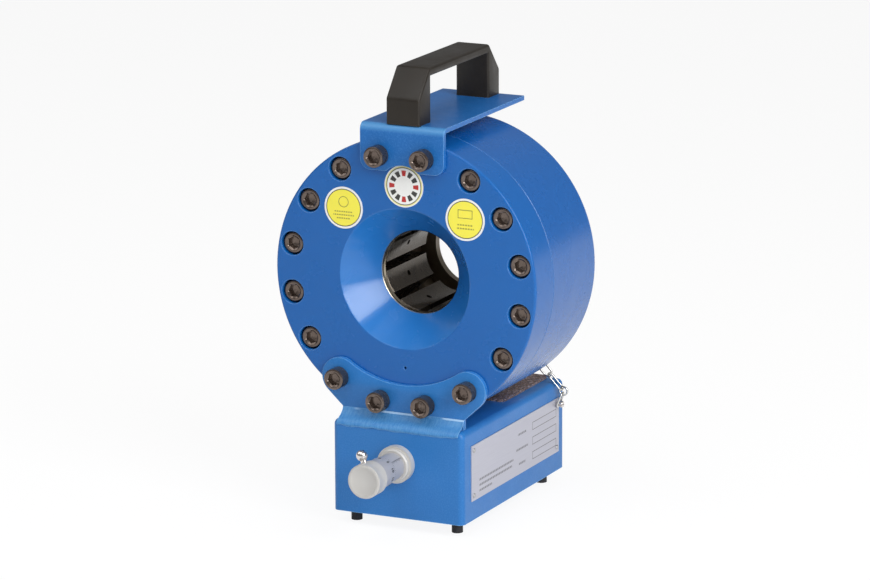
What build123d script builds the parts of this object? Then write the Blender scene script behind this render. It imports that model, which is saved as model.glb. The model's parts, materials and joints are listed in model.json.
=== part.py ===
# Hose crimping machine: a ring-shaped hydraulic head on a sheet-metal base.
# An annular piston with an octagonal wedge-faced cavity pushes eight master dies towards
# the crimp axis.  A micrometer on the base sets where a limit switch stops the piston.
#
# Every piece is drawn about the crimp axis: X to the right, Y from the front face of the
# head to the rear, Z up, with the axis through the origin.  save() then stands the machine
# on the floor, under the middle of its bounding box.

import os
from math import cos, radians, sin, sqrt, tan

from build123d import *

os.makedirs("parts", exist_ok=True)

# ---- clearances ---------------------------------------------------------------------
running_clearance = 0.05     # radial, shaft in bore
thread_clearance = 0.05      # radial, screw in tapped hole
slide_gap = 0.1              # between flat faces that slide on each other
soft_gap = 0.25              # between a soft or curved piece and its seat
bolt_clearance = 0.5         # radial, screw in plain hole

# ---- head: flange and cylinder --------------------------------------------------------
head_radius = 120.0
flange_depth = 36.0
body_depth = 85.0
screw_edge_margin = 13.25    # screw circle to the head's rim
cylinder_wall = 12.75        # screw circle to the cylinder's bore
piston_shoulder = 32.0       # cylinder's bore to the piston's tail
tail_wall = 27.0             # piston's tail to the throat
cone_width = 25.0
rear_wall = 17.0
edge_break = 1.2
throat_land = 5.0
oil_hole_radius = 1.2
oil_hole_inset = 16.0        # outwards from the cone's mouth
oil_hole_depth = 14.0

# ---- socket-head screws round the head ------------------------------------------------
screw_count = 16
screw_radius = 6.0
screw_head_radius = 9.0
screw_head_height = 12.0
screw_socket_flats = 10.0
screw_socket_depth = 6.0
screw_grip = 20.0
counterbore_radius = 10.2
counterbore_cover = 2.0

# ---- piston and master dies -----------------------------------------------------------
die_count = 8
die_length = 76.7
die_front_gap = 0.3
die_stroke = 9.5
die_side_gap_closed = 0.4
die_edge_chamfer = 0.8
die_pin_radius = 2.5
die_pin_depth = 10.0
wedge_slope = 0.5
wedge_front_wall = 10.0      # cylinder's bore to the front of the piston's flats
piston_front_gap = 2.0
piston_rear_gap = 1.0
tail_lip_depth = 7.0
tail_lip_gap = 1.2

# ---- seals ------------------------------------------------------------------------------
piston_seal_width = 8.0
piston_seal_depth = 6.0
piston_seal_rear = 14.0
rod_seal_width = 6.0
rod_seal_depth = 5.0
wiper_width = 4.0
wiper_depth = 4.0

# ---- die springs --------------------------------------------------------------------------
spring_radius = 3.0
spring_wire = 1.0
spring_pocket_depth = 6.0
front_spring_rise = 19.0     # outwards from the throat
front_spring_inset = 14.0
rear_spring_rise = 10.0
rear_spring_inset = 60.0

# ---- handle and its bracket -----------------------------------------------------------------
bracket_sheet = 4.0
handle_bracket_width = 77.0
handle_bracket_gap = 7.0
handle_bracket_hem = 13.2    # below the two screws that hold it
handle_bracket_notch_half = 15.0
handle_bracket_notch_rise = 5.6
bend_radius = 6.0
corner_radius = 9.0
handle_overhang = 2.0        # forward of the head's face
handle_width = 28.0
handle_height = 46.0
handle_hole_spacing = 132.0
handle_end_margin = 12.5     # screw to the end of the handle
handle_leg = 24.0
handle_bar = 11.5
handle_shoulder = 20.0
handle_lean = 15.0
handle_edge = 2.5
handle_screw_radius = 4.0
handle_screw_head_radius = 6.5
handle_screw_head_height = 5.0
handle_screw_grip = 16.0
handle_screw_flats = 5.0

# ---- base -----------------------------------------------------------------------------------
base_width = 121.0
base_front = 15.5
base_rear = 190.0
base_height = 79.5
base_sheet = 3.0
base_corner_radius = 5.0
pad_thickness = 2.3
pad_width = 96.0
pad_front = 92.0
pad_rear = 184.0
pad_clearance = 0.2
ear_radius = 16.5
saddle_drop = 16.25          # screw circle to the saddle edge
bracket_base_width = 112.0
weld_leg = 5.0
floor_sheet = 3.0
floor_clearance = 0.3
return_flange = 20.0
foot_radius = 4.75
foot_height = 11.0
foot_x = 47.0
foot_front = 2.0
foot_rear = 172.0
foot_stud_radius = 2.5
foot_nut_height = 4.0
foot_nut_flats = 8.0

# ---- nameplate and round face labels -----------------------------------------------------------
nameplate_front = 0.0
nameplate_rear = 177.0
nameplate_drop = 14.5        # below the base's top
nameplate_height = 48.0
nameplate_sheet = 0.8
rivet_inset = 4.5
rivet_head_radius = 2.0
rivet_head_height = 1.0
rivet_shank_radius = 1.2
label_radius = 17.8
label_margin = 1.4           # cone's mouth to the label
label_sheet = 0.3
label_pitch = 45.0

# ---- micrometer -----------------------------------------------------------------------------------
micrometer_drop = 32.0       # below the base's top
micrometer_flange_radius = 16.0
micrometer_flange_depth = 10.0
micrometer_collar_radius = 14.2
micrometer_collar_depth = 4.0
sleeve_radius = 11.5
thimble_radius = 12.6
thimble_reach = 28.0
thimble_floor = 2.0
thimble_end_gap = 0.5
knob_reach = 63.5
knob_radius = 14.0
knob_depth = 15.5
knob_edge = 1.0
spindle_radius = 4.0
spindle_socket = 8.0
spindle_travel = 5.0
stem_radius = 9.0
stem_nut_flats = 24.0
stem_nut_depth = 6.0
lock_angle = -20.0
lock_inset = 0.5
lock_stem_radius = 2.0
lock_stem_height = 3.0
lock_head_radius = 4.8
lock_head_height = 7.0

# ---- limit switch in the base -----------------------------------------------------------------------
rail_width = 16.0
rail_front = 4.0
rail_rear = 70.0
rail_height = 22.0
saddle_width = 26.0
saddle_length = 34.0
saddle_front = 15.0
saddle_wall = 5.0
saddle_skirt = 8.0
switch_width = 12.0
switch_length = 22.0
switch_height = 20.0
plunger_radius = 2.0
plunger_reach = 3.0
plunger_travel = 1.5
plunger_socket = 8.0

# ---- follower that carries the piston's position into the base --------------------------------------
arm_sheet = 6.0
arm_width = 14.0
arm_slot_side = 2.5
arm_slot_end = 3.0
stop_rod_radius = 3.0
arm_screw_radius = 2.5
arm_screw_head_radius = 4.3
arm_screw_head_height = 4.0
arm_screw_grip = 5.0
arm_screw_spacing = 30.0
arm_yoke_width = 44.0
arm_yoke_height = 12.0

# ---- hydraulic connection ------------------------------------------------------------------------------
port_angle = 164.6
port_inset = 11.0            # inwards from the cylinder's bore
port_radius = 6.5
port_thread_depth = 12.0
oil_way_radius = 3.0
adapter_flats = 19.0
adapter_hex_depth = 8.0
adapter_neck_radius = 7.0
adapter_neck_depth = 5.0
coupling_radius = 12.0
coupling_depth = 22.0
coupling_nose_radius = 9.5
coupling_nose_depth = 12.0
cap_wall = 2.5
cap_end = 4.0
cap_eye_radius = 3.2
cap_eye_hole = 1.5
cap_eye_sheet = 2.0
cap_eye_angle = 138.7

# ---- tether chain of the dust cap ------------------------------------------------------------------------
link_wire_radius = 0.9
link_inside_width = 5.4
link_slack = 0.15            # between the wires of neighbouring links
first_link_length = 12.0
first_link_lean = 20.0
long_link_count = 3
chain_screw_shoulder = 1.5
chain_screw_stand = 4.0      # shoulder between the nameplate and the head
chain_screw_head = 3.0
chain_screw_head_height = 2.0
chain_screw_slot = 0.8


# ---- places worked out from the sizes above -------------------------------------------------------------------
half_pitch = 180.0 / die_count
screw_circle_radius = head_radius - screw_edge_margin
body_bore_radius = screw_circle_radius - cylinder_wall
tail_radius = body_bore_radius - piston_shoulder
throat_radius = tail_radius - tail_wall
cone_mouth_radius = throat_radius + cone_width
oil_hole_height = cone_mouth_radius + oil_hole_inset
wedge_front_apothem = body_bore_radius - wedge_front_wall
saddle_radius = screw_circle_radius - saddle_drop
label_reach = cone_mouth_radius + label_margin + label_radius
handle_length = handle_hole_spacing + 2 * handle_end_margin
handle_bracket_rear = handle_length - handle_overhang
body_rear = flange_depth + body_depth
chamber_rear = body_rear - rear_wall
base_top = -(head_radius + pad_clearance + pad_thickness)
base_bottom = base_top - base_height
floor_level = base_bottom - foot_height
die_front = flange_depth + die_front_gap
die_rear = die_front + die_length
piston_stroke = die_stroke / wedge_slope
piston_front = flange_depth + piston_front_gap + piston_stroke
piston_ring_rear = chamber_rear - piston_rear_gap
piston_groove_front = piston_ring_rear - piston_seal_rear - piston_seal_width
lip_front = die_rear + tail_lip_gap + piston_stroke
tail_rear = lip_front + tail_lip_depth
screw_pitch = 360.0 / screw_count
screw_start = screw_pitch / 2
handle_screw_angles = [screw_start, -screw_start]
base_screw_angles = [side * (180 - screw_start - step * screw_pitch) for side in (1, -1) for step in (0, 1)]
all_screw_angles = [screw_start + n * screw_pitch for n in range(screw_count)]
proud_screw_angles = [angle % 360 for angle in handle_screw_angles + base_screw_angles]
recessed_screw_angles = [angle for angle in all_screw_angles if angle not in proud_screw_angles]
plate_top = head_radius + handle_bracket_gap + bracket_sheet
handle_bracket_foot = screw_circle_radius * cos(radians(screw_start)) - handle_bracket_hem
knob_front = -(base_front + knob_reach)
knob_rear = knob_front + knob_depth
sleeve_front = knob_rear + thimble_floor + spindle_travel + thimble_end_gap
micrometer_height = base_top - micrometer_drop
nameplate_top = base_top - nameplate_drop
nameplate_bottom = nameplate_top - nameplate_height
port_reach = body_bore_radius - port_inset
port_x = port_reach * sin(radians(port_angle))
port_drop = -port_reach * cos(radians(port_angle))
machine_middle = (base_rear + knob_front) / 2


def save(name, *solids):
    """Stands the solids on the floor and writes them as one node."""
    pieces = [piece for solid in solids for piece in solid.solids()]
    placed = Compound(children=[Location((0, -machine_middle, -floor_level)) * piece for piece in pieces])
    export_step(placed, f"parts/{name}.step")


def on_axis(angle, reach, depth=0.0):
    """A place at that angle from the top, clockwise seen from the front, and that far out."""
    return Location((reach * sin(radians(angle)), depth, reach * cos(radians(angle))))


def turned(*outline):
    """A ring about the crimp axis, from (radius, depth) points."""
    return revolve(make_face(Polyline(*outline, close=True)), Axis.Y)


def rod(radius, front, rear, x=0.0, z=0.0):
    """A round bar along Y."""
    return Location((x, (front + rear) / 2, z)) * Rot(90, 0, 0) * Cylinder(radius, rear - front)


def hexagon(flats, front, rear, x=0.0, z=0.0):
    """A six-sided bar along Y, given its size across flats."""
    outline = RegularPolygon(flats / 2, 6, major_radius=False)
    return Location((x, rear, z)) * Rot(90, 0, 0) * extrude(outline, rear - front)


def block(x, y, z):
    """A box from its low and high limit along each axis."""
    size = Box(x[1] - x[0], y[1] - y[0], z[1] - z[0])
    return Location(((x[0] + x[1]) / 2, (y[0] + y[1]) / 2, (z[0] + z[1]) / 2)) * size


def front_profile(face, front, rear):
    """Extends a face of (x, z) points from the front depth to the rear depth."""
    return extrude(Plane.XZ.offset(-rear) * face, rear - front)


def side_profile(face, low, high):
    """Extends a face of (depth, z) points along X."""
    return extrude(Plane.YZ.offset(low) * face, high - low)


def socket_screw(front, length, radius=screw_radius, head=screw_head_radius,
                 height=screw_head_height, flats=screw_socket_flats, socket=screw_socket_depth):
    """A socket-head screw along Y with its head's face at that depth."""
    seat = front + height
    body = rod(head, front, seat) + rod(radius, seat, seat + length)
    rim = body.faces().sort_by(Axis.Y)[0].edges()
    return chamfer(rim, height / 12) - hexagon(flats, front, front + socket)


def bored_for_screws(solid, angles, radius, front, rear):
    """Drills one round hole at each of the angles."""
    for angle in angles:
        solid -= on_axis(angle, screw_circle_radius) * rod(radius, front, rear)
    return solid


# ---- head -------------------------------------------------------------------------------------

def front_flange():
    cone_rear = flange_depth - throat_land
    ring = turned((cone_mouth_radius, 0), (head_radius - edge_break, 0), (head_radius, edge_break),
                  (head_radius, flange_depth), (throat_radius, flange_depth), (throat_radius, cone_rear))
    ring = bored_for_screws(ring, all_screw_angles, screw_radius + bolt_clearance, 0, flange_depth)
    sink = screw_head_height + counterbore_cover
    ring = bored_for_screws(ring, recessed_screw_angles, counterbore_radius, 0, sink)
    return ring - rod(oil_hole_radius, 0, oil_hole_depth, z=-oil_hole_height)


def cylinder_body():
    tail_bore = tail_radius + running_clearance
    rod_seal_front = chamber_rear + rear_wall / 2 - rod_seal_width
    wiper_front = body_rear - wiper_width
    cup = turned((body_bore_radius, flange_depth), (head_radius, flange_depth),
                 (head_radius, body_rear - edge_break), (head_radius - edge_break, body_rear),
                 (tail_bore + wiper_depth, body_rear), (tail_bore + wiper_depth, wiper_front),
                 (tail_bore, wiper_front), (tail_bore, rod_seal_front + rod_seal_width),
                 (tail_bore + rod_seal_depth, rod_seal_front + rod_seal_width),
                 (tail_bore + rod_seal_depth, rod_seal_front), (tail_bore, rod_seal_front),
                 (tail_bore, chamber_rear), (body_bore_radius, chamber_rear))
    hole = screw_radius + thread_clearance
    thread_end = flange_depth + screw_grip + screw_radius
    cup = bored_for_screws(cup, all_screw_angles, hole, flange_depth, thread_end)
    cup -= rod(port_radius + thread_clearance, body_rear - port_thread_depth, body_rear, port_x, -port_drop)
    return cup - rod(oil_way_radius, chamber_rear, body_rear, port_x, -port_drop)


def ring_seal(inner, outer, front, width):
    return turned((inner, front), (outer, front), (outer, front + width), (inner, front + width))


def head_screws(angles, face):
    length = flange_depth + screw_grip - face - screw_head_height
    return [on_axis(angle, screw_circle_radius) * socket_screw(face, length) for angle in angles]


# ---- piston -----------------------------------------------------------------------------------

def wedge_apothem(depth):
    """How far each sloping flat of the cavity is from the axis at that depth."""
    return wedge_front_apothem - wedge_slope * (depth - die_front)


def octagon(apothem, depth):
    flat = RegularPolygon(apothem, die_count, major_radius=False)
    return Plane.XZ.offset(-depth) * flat


def piston():
    ring = body_bore_radius - running_clearance
    groove_front = piston_groove_front
    groove = ring - piston_seal_depth
    blank = turned((0, piston_front), (ring, piston_front), (ring, groove_front), (groove, groove_front),
                   (groove, groove_front + piston_seal_width), (ring, groove_front + piston_seal_width),
                   (ring, piston_ring_rear), (tail_radius, piston_ring_rear), (tail_radius, tail_rear),
                   (0, tail_rear))
    cavity = loft([octagon(wedge_apothem(piston_front), piston_front).face(),
                   octagon(wedge_apothem(die_rear), die_rear).face()])
    relief = rod(wedge_apothem(die_rear) / cos(radians(half_pitch)) + soft_gap, die_rear, lip_front)
    blank = blank - cavity - relief - rod(throat_radius, lip_front, tail_rear)
    for side in (-1, 1):
        blank -= rod(arm_screw_radius + thread_clearance, tail_rear - arm_screw_grip, tail_rear,
                     side * arm_screw_spacing / 2, arm_screw_height())
    return blank


def arm_screw_height():
    """Height of the two screws that hold the follower arm on the tail's rear face."""
    middle = (throat_radius + tail_radius) / 2
    return -sqrt(middle ** 2 - (arm_screw_spacing / 2) ** 2)


def piston_seal():
    outer = body_bore_radius - running_clearance
    return ring_seal(outer - piston_seal_depth, outer, piston_groove_front, piston_seal_width)


# ---- master dies ------------------------------------------------------------------------------

def spring_places():
    """(reach, depth) of the two springs in each gap between dies."""
    return [(throat_radius + front_spring_rise, die_front + front_spring_inset),
            (throat_radius + rear_spring_rise, die_front + rear_spring_inset)]


def side_spring_bore(reach, depth, side, radius, start, end):
    """A round bar square to one side face of an upright die, measured from the gap's middle plane."""
    bar = Location(((start + end) / 2, 0, 0)) * Rot(0, 90, 0) * Cylinder(radius, end - start)
    place = Location((0, depth, 0)) * Rot(0, side * half_pitch, 0) * Location((0, 0, reach))
    if side > 0:
        return place * Rot(0, 0, 180) * bar
    return place * bar


def gap_half_width():
    """Half of the open gap between two dies."""
    return die_stroke * sin(radians(half_pitch)) + die_side_gap_closed


def master_die():
    """The die at the top, in its open place."""
    slant = radians(half_pitch)
    closed_radius = throat_radius - die_stroke
    face_gap = slide_gap * sqrt(1 + wedge_slope ** 2)
    outer_front = wedge_apothem(die_front) - face_gap
    outer_rear = wedge_apothem(die_rear) - face_gap
    apex = die_stroke + die_side_gap_closed / sin(slant)
    top = outer_front + 1
    sector = make_face(Polyline((0, apex), (-(top - apex) * tan(slant), top),
                                ((top - apex) * tan(slant), top), close=True))
    wedge = front_profile(sector, die_front, die_rear)
    side = make_face(Polyline((die_front, 0), (die_front, outer_front), (die_rear, outer_rear), (die_rear, 0),
                              close=True))
    die = wedge & side_profile(side, -head_radius, head_radius)
    die -= rod(closed_radius, die_front, die_rear, z=die_stroke)
    die = chamfer(die.faces().sort_by(Axis.Y)[0].edges(), die_edge_chamfer)
    die = chamfer(die.faces().sort_by(Axis.Y)[-1].edges(), die_edge_chamfer)
    middle = (die_front + die_rear) / 2
    pin_hole = Cylinder(die_pin_radius, die_pin_depth, align=(Align.CENTER, Align.CENTER, Align.MIN))
    die -= Location((0, middle, throat_radius - 1)) * pin_hole
    hole = spring_radius + soft_gap
    for reach, depth in spring_places():
        for side_sign in (-1, 1):
            inner = gap_half_width() + spring_pocket_depth
            die -= side_spring_bore(reach, depth, side_sign, hole, 0, inner)
    return die


def master_dies():
    die = master_die()
    return [Rot(0, (2 * n + 1) * half_pitch, 0) * die for n in range(die_count)]


def die_springs():
    """Closed tubes that fill each spring's space between neighbouring dies."""
    half_length = gap_half_width() + spring_pocket_depth
    springs = []
    for n in range(die_count):
        for reach, depth in spring_places():
            tube = Cylinder(spring_radius, 2 * half_length) - Cylinder(spring_radius - spring_wire, 2 * half_length)
            springs.append(Rot(0, 2 * n * half_pitch, 0) * Location((0, depth, reach)) * Rot(0, 90, 0) * tube)
    return springs


# ---- handle -----------------------------------------------------------------------------------

def handle_bracket():
    outer = Polyline((-bracket_sheet, handle_bracket_foot), (-bracket_sheet, plate_top),
                     (handle_bracket_rear, plate_top), (handle_bracket_rear, plate_top - bracket_sheet),
                     (0, plate_top - bracket_sheet), (0, handle_bracket_foot), close=True)
    half = handle_bracket_width / 2
    plate = side_profile(make_face(outer), -half, half)
    bends = [edge for edge in plate.edges().filter_by(Axis.X) if abs(edge.center().Z - plate_top) < 0.1
             and edge.center().Y < 0]
    plate = fillet(bends, bend_radius)
    inner = [edge for edge in plate.edges().filter_by(Axis.X)
             if abs(edge.center().Z - plate_top + bracket_sheet) < 0.1 and abs(edge.center().Y) < 0.1]
    plate = fillet(inner, bend_radius - bracket_sheet)
    corners = [edge for edge in plate.edges().filter_by(Axis.Y) if abs(edge.center().Z - handle_bracket_foot) < 0.1]
    plate = fillet(corners, corner_radius)
    rise = handle_bracket_notch_rise
    notch_radius = (handle_bracket_notch_half ** 2 + rise ** 2) / (2 * rise)
    plate -= rod(notch_radius, -bracket_sheet, 0, z=handle_bracket_foot + rise - notch_radius)
    for angle in handle_screw_angles:
        plate -= on_axis(angle, screw_circle_radius) * rod(screw_radius + bolt_clearance, -bracket_sheet, 0)
    for depth in handle_screw_depths():
        plate -= Location((0, depth, plate_top - bracket_sheet / 2)) * Cylinder(
            handle_screw_radius + bolt_clearance, bracket_sheet)
    return plate


def handle_screw_depths():
    middle = handle_bracket_rear - handle_length / 2
    return [middle - handle_hole_spacing / 2, middle + handle_hole_spacing / 2]


def carry_handle():
    low, high = plate_top, plate_top + handle_height
    rear = handle_bracket_rear
    front = rear - handle_length
    outline = Polyline((front, low), (front, low + handle_shoulder), (front + handle_lean, high),
                       (rear - handle_lean, high), (rear, low + handle_shoulder), (rear, low),
                       (rear - handle_leg, low), (rear - handle_leg, high - handle_bar),
                       (front + handle_leg, high - handle_bar), (front + handle_leg, low), close=True)
    half = handle_width / 2
    bow = side_profile(make_face(outline), -half, half)
    shoulders = [edge for edge in bow.edges().filter_by(Axis.X) if edge.center().Z > low + handle_edge]
    bow = fillet(shoulders, 2 * handle_edge)
    rims = [edge for edge in bow.edges()
            if abs(abs(edge.center().X) - half) < 0.1 and edge.center().Z > low + handle_edge]
    bow = fillet(rims, handle_edge)
    for depth in handle_screw_depths():
        insert = Cylinder(handle_screw_radius + thread_clearance, handle_screw_grip + 2,
                          align=(Align.CENTER, Align.CENTER, Align.MIN))
        bow -= Location((0, depth, low)) * insert
    return bow


def handle_screws():
    low = plate_top - bracket_sheet
    screws = []
    for depth in handle_screw_depths():
        screw = socket_screw(-handle_screw_head_height, bracket_sheet + handle_screw_grip, handle_screw_radius,
                             handle_screw_head_radius, handle_screw_head_height, handle_screw_flats,
                             handle_screw_head_height / 2)
        screws.append(Location((0, depth, low)) * Rot(90, 0, 0) * screw)
    return screws


# ---- base ---------------------------------------------------------------------------------------

def base_bracket():
    """The welded upright that carries the head, with two ears and a saddle edge."""
    wide_angle = base_screw_angles[1]
    ear_x = screw_circle_radius * sin(radians(wide_angle))
    ear_z = screw_circle_radius * cos(radians(wide_angle))
    half = bracket_base_width / 2
    reach_x = half - ear_x
    reach_z = base_top - ear_z
    distance = sqrt(reach_x ** 2 + reach_z ** 2)
    lean = sqrt(distance ** 2 - ear_radius ** 2)
    along = (reach_x / distance, reach_z / distance)
    touch = ear_radius * ear_radius / distance
    across = ear_radius * lean / distance
    tangent_x = ear_x + along[0] * touch - along[1] * across
    tangent_z = ear_z + along[1] * touch + along[0] * across
    web = make_face(Polyline((-half, base_top), (half, base_top), (tangent_x, tangent_z), (ear_x, ear_z),
                             (-ear_x, ear_z), (-tangent_x, tangent_z), close=True))
    plate = front_profile(web, -bracket_sheet, 0)
    for side in (-1, 1):
        plate += rod(ear_radius, -bracket_sheet, 0, side * ear_x, ear_z)
    plate -= rod(saddle_radius, -bracket_sheet, 0)
    tops = [edge for edge in plate.edges().filter_by(Axis.Y)
            if abs(sqrt(edge.center().X ** 2 + edge.center().Z ** 2) - saddle_radius) < 0.1]
    plate = fillet(tops, corner_radius)
    for angle in base_screw_angles:
        plate -= on_axis(angle, screw_circle_radius) * rod(screw_radius + bolt_clearance, -bracket_sheet, 0)
    bead = make_face(Polyline((-bracket_sheet - weld_leg, base_top), (-bracket_sheet, base_top),
                              (-bracket_sheet, base_top + weld_leg), close=True))
    return plate + side_profile(bead, -half, half)


def base_box():
    half = base_width / 2
    shell = block((-half, half), (-base_front, base_rear), (base_bottom, base_top))
    shell = fillet([edge for edge in shell.edges() if edge.center().Z > base_bottom + 1], base_corner_radius)
    room = half - base_sheet
    inside = block((-room, room), (-base_front + base_sheet, base_rear - base_sheet),
                   (base_bottom - 1, base_top - base_sheet))
    inside = fillet([edge for edge in inside.edges() if edge.center().Z > base_bottom + 1],
                    base_corner_radius - base_sheet)
    shell -= inside
    ledge = base_bottom + floor_sheet
    for side in (-1, 1):
        limits = sorted((side * room, side * (room - return_flange)))
        shell += block(limits, (-base_front + base_sheet / 2, base_rear - base_sheet / 2),
                       (ledge, ledge + base_sheet))
    for x, y in foot_places():
        shell -= Location((x, y, ledge + base_sheet / 2)) * Cylinder(foot_stud_radius + bolt_clearance, base_sheet)
    for y, z in plate_hole_places():
        shell -= across(rivet_shank_radius + thread_clearance, room, half, y, z)
    shell -= rod(stem_radius + soft_gap, -base_front, -base_front + base_sheet, z=micrometer_height)
    return shell - arm_slot(base_top - base_sheet, base_top)


def arm_slot(low, high):
    """The slot through which the follower arm reaches down, long enough for the piston's stroke."""
    half = arm_width / 2 + arm_slot_side
    front = tail_rear - piston_stroke - arm_slot_end
    rear = tail_rear + arm_sheet + arm_slot_end
    return block((-half, half), (front, rear), (low, high))


def foot_places():
    return [(side * foot_x, y) for side in (-1, 1) for y in (foot_front, foot_rear)]


def base_floor():
    room = base_width / 2 - base_sheet - floor_clearance
    front = -base_front + base_sheet + floor_clearance
    rear = base_rear - base_sheet - floor_clearance
    sheet = block((-room, room), (front, rear), (base_bottom, base_bottom + floor_sheet))
    sheet = fillet(sheet.edges().filter_by(Axis.Z), base_corner_radius - base_sheet)
    for x, y in foot_places():
        sheet -= Location((x, y, base_bottom + floor_sheet / 2)) * Cylinder(
            foot_stud_radius + bolt_clearance, floor_sheet)
    return sheet


def feet():
    stud_top = base_bottom + floor_sheet + base_sheet + foot_nut_height + 1
    pieces = []
    for x, y in foot_places():
        pad = Cylinder(foot_radius, foot_height, align=(Align.CENTER, Align.CENTER, Align.MIN))
        stud = Cylinder(foot_stud_radius, stud_top - base_bottom, align=(Align.CENTER, Align.CENTER, Align.MIN))
        pieces.append(Location((x, y, floor_level)) * pad + Location((x, y, base_bottom)) * stud)
    return pieces


def foot_nuts():
    low = base_bottom + floor_sheet + base_sheet
    nuts = []
    for x, y in foot_places():
        nut = extrude(RegularPolygon(foot_nut_flats / 2, 6, major_radius=False), foot_nut_height)
        nut -= Cylinder(foot_stud_radius + thread_clearance, foot_nut_height,
                        align=(Align.CENTER, Align.CENTER, Align.MIN))
        nuts.append(Location((x, y, low)) * nut)
    return nuts


def cradle_pad():
    half = pad_width / 2
    mat = block((-half, half), (pad_front, pad_rear), (base_top, base_top + pad_thickness))
    mat = fillet(mat.edges().filter_by(Axis.Z), corner_radius / 2)
    return mat - arm_slot(base_top, base_top + pad_thickness)


# ---- nameplate and labels -------------------------------------------------------------------------

def plate_hole_places():
    return [(y, z) for y in (nameplate_front + rivet_inset, nameplate_rear - rivet_inset)
            for z in (nameplate_top - rivet_inset, nameplate_bottom + rivet_inset)]


def chain_screw_place():
    """The rear top hole of the nameplate, which holds the chain."""
    return max(plate_hole_places())


def rivet_places():
    return [place for place in plate_hole_places() if place != chain_screw_place()]


def across(radius, low, high, y, z):
    """A round bar along X."""
    return Location(((low + high) / 2, y, z)) * Rot(0, 90, 0) * Cylinder(radius, high - low)


def nameplate():
    side = base_width / 2
    plate = block((side, side + nameplate_sheet), (nameplate_front, nameplate_rear),
                  (nameplate_bottom, nameplate_top))
    for y, z in plate_hole_places():
        plate -= across(rivet_shank_radius + thread_clearance, side, side + nameplate_sheet, y, z)
    return plate


def nameplate_rivets():
    side = base_width / 2
    face = side + nameplate_sheet
    rivets = []
    for y, z in rivet_places():
        head = across(rivet_head_radius, face, face + rivet_head_height, y, z)
        head = chamfer(head.faces().sort_by(Axis.X)[-1].edges(), rivet_head_height / 2)
        rivets.append(head + across(rivet_shank_radius, side - base_sheet, face, y, z))
    return rivets


def face_label(angle):
    return on_axis(angle, label_reach) * rod(label_radius, -label_sheet, 0)


# ---- micrometer -----------------------------------------------------------------------------------

def micrometer_flange():
    wall = -base_front
    face = wall - micrometer_flange_depth
    step = face + micrometer_collar_depth
    ring = rod(micrometer_flange_radius, step, wall) + rod(micrometer_collar_radius, face, step)
    ring = chamfer(ring.edges().filter_by(GeomType.CIRCLE).sort_by(Axis.Y)[0], knob_edge)
    ring += rod(stem_radius, wall, wall + base_sheet + stem_nut_depth + 1)
    bore = rod(spindle_radius + running_clearance, face, wall + base_sheet + stem_nut_depth + 1)
    return Location((0, 0, micrometer_height)) * (ring - bore)


def micrometer_nut():
    inside = -base_front + base_sheet
    nut = hexagon(stem_nut_flats, inside, inside + stem_nut_depth)
    nut -= rod(stem_radius + thread_clearance, inside, inside + stem_nut_depth)
    return Location((0, 0, micrometer_height)) * nut


def micrometer_sleeve():
    rear = -base_front - micrometer_flange_depth
    tube = rod(sleeve_radius, sleeve_front, rear)
    tube -= rod(spindle_radius + running_clearance, sleeve_front, rear)
    return Location((0, 0, micrometer_height)) * tube


def thimble():
    rear = -base_front - thimble_reach
    floor_rear = knob_rear + thimble_floor
    drum = rod(thimble_radius, knob_rear, rear)
    drum -= rod(sleeve_radius + running_clearance, floor_rear, rear)
    knob = chamfer(rod(knob_radius, knob_front, knob_rear).edges().filter_by(GeomType.CIRCLE), knob_edge)
    socket = spindle_radius + thread_clearance
    body = drum + knob - rod(socket, knob_rear - spindle_socket, floor_rear)
    body = Location((0, 0, micrometer_height)) * body
    stem_hole = Cylinder(lock_stem_radius + running_clearance, knob_radius,
                         align=(Align.CENTER, Align.CENTER, Align.MIN))
    return body - lock_frame() * Location((0, 0, knob_radius / 2)) * stem_hole


def lock_depth():
    return knob_rear - knob_edge - lock_stem_radius - lock_inset


def lock_frame():
    """Along the lock screw: Z points out from the micrometer's axis."""
    return Location((0, lock_depth(), micrometer_height)) * Rot(0, lock_angle, 0)


def lock_screw():
    seat = knob_radius + lock_stem_height
    stem = Cylinder(lock_stem_radius, seat - knob_radius / 2, align=(Align.CENTER, Align.CENTER, Align.MIN))
    head = Cylinder(lock_head_radius, lock_head_height, align=(Align.CENTER, Align.CENTER, Align.MIN))
    head = fillet(head.edges().filter_by(GeomType.CIRCLE).sort_by(Axis.Z)[-1], lock_head_height / 3)
    head = fillet(head.edges().filter_by(GeomType.CIRCLE).sort_by(Axis.Z)[0], lock_head_height / 6)
    screw = Location((0, 0, knob_radius / 2)) * stem + Location((0, 0, seat)) * head
    return lock_frame() * screw


def spindle():
    front = knob_rear - spindle_socket
    rear = saddle_front + saddle_wall
    return Location((0, 0, micrometer_height)) * rod(spindle_radius, front, rear)


# ---- limit switch -----------------------------------------------------------------------------------

def rail_top():
    return base_bottom + floor_sheet + rail_height


def switch_rail():
    half = rail_width / 2
    return block((-half, half), (rail_front, rail_rear), (base_bottom + floor_sheet, rail_top()))


def switch_carriage():
    half = saddle_width / 2
    deck_low = rail_top() + slide_gap
    deck_high = micrometer_height - switch_height / 2
    rear = saddle_front + saddle_length
    saddle = block((-half, half), (saddle_front, rear), (deck_low - saddle_skirt, deck_high))
    slot = rail_width / 2 + slide_gap
    saddle -= block((-slot, slot), (saddle_front, rear), (deck_low - saddle_skirt, deck_low))
    saddle += block((-half, half), (saddle_front, saddle_front + saddle_wall),
                    (deck_low, micrometer_height + switch_height / 2))
    return saddle - rod(spindle_radius + running_clearance, saddle_front, saddle_front + saddle_wall,
                        z=micrometer_height)


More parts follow.
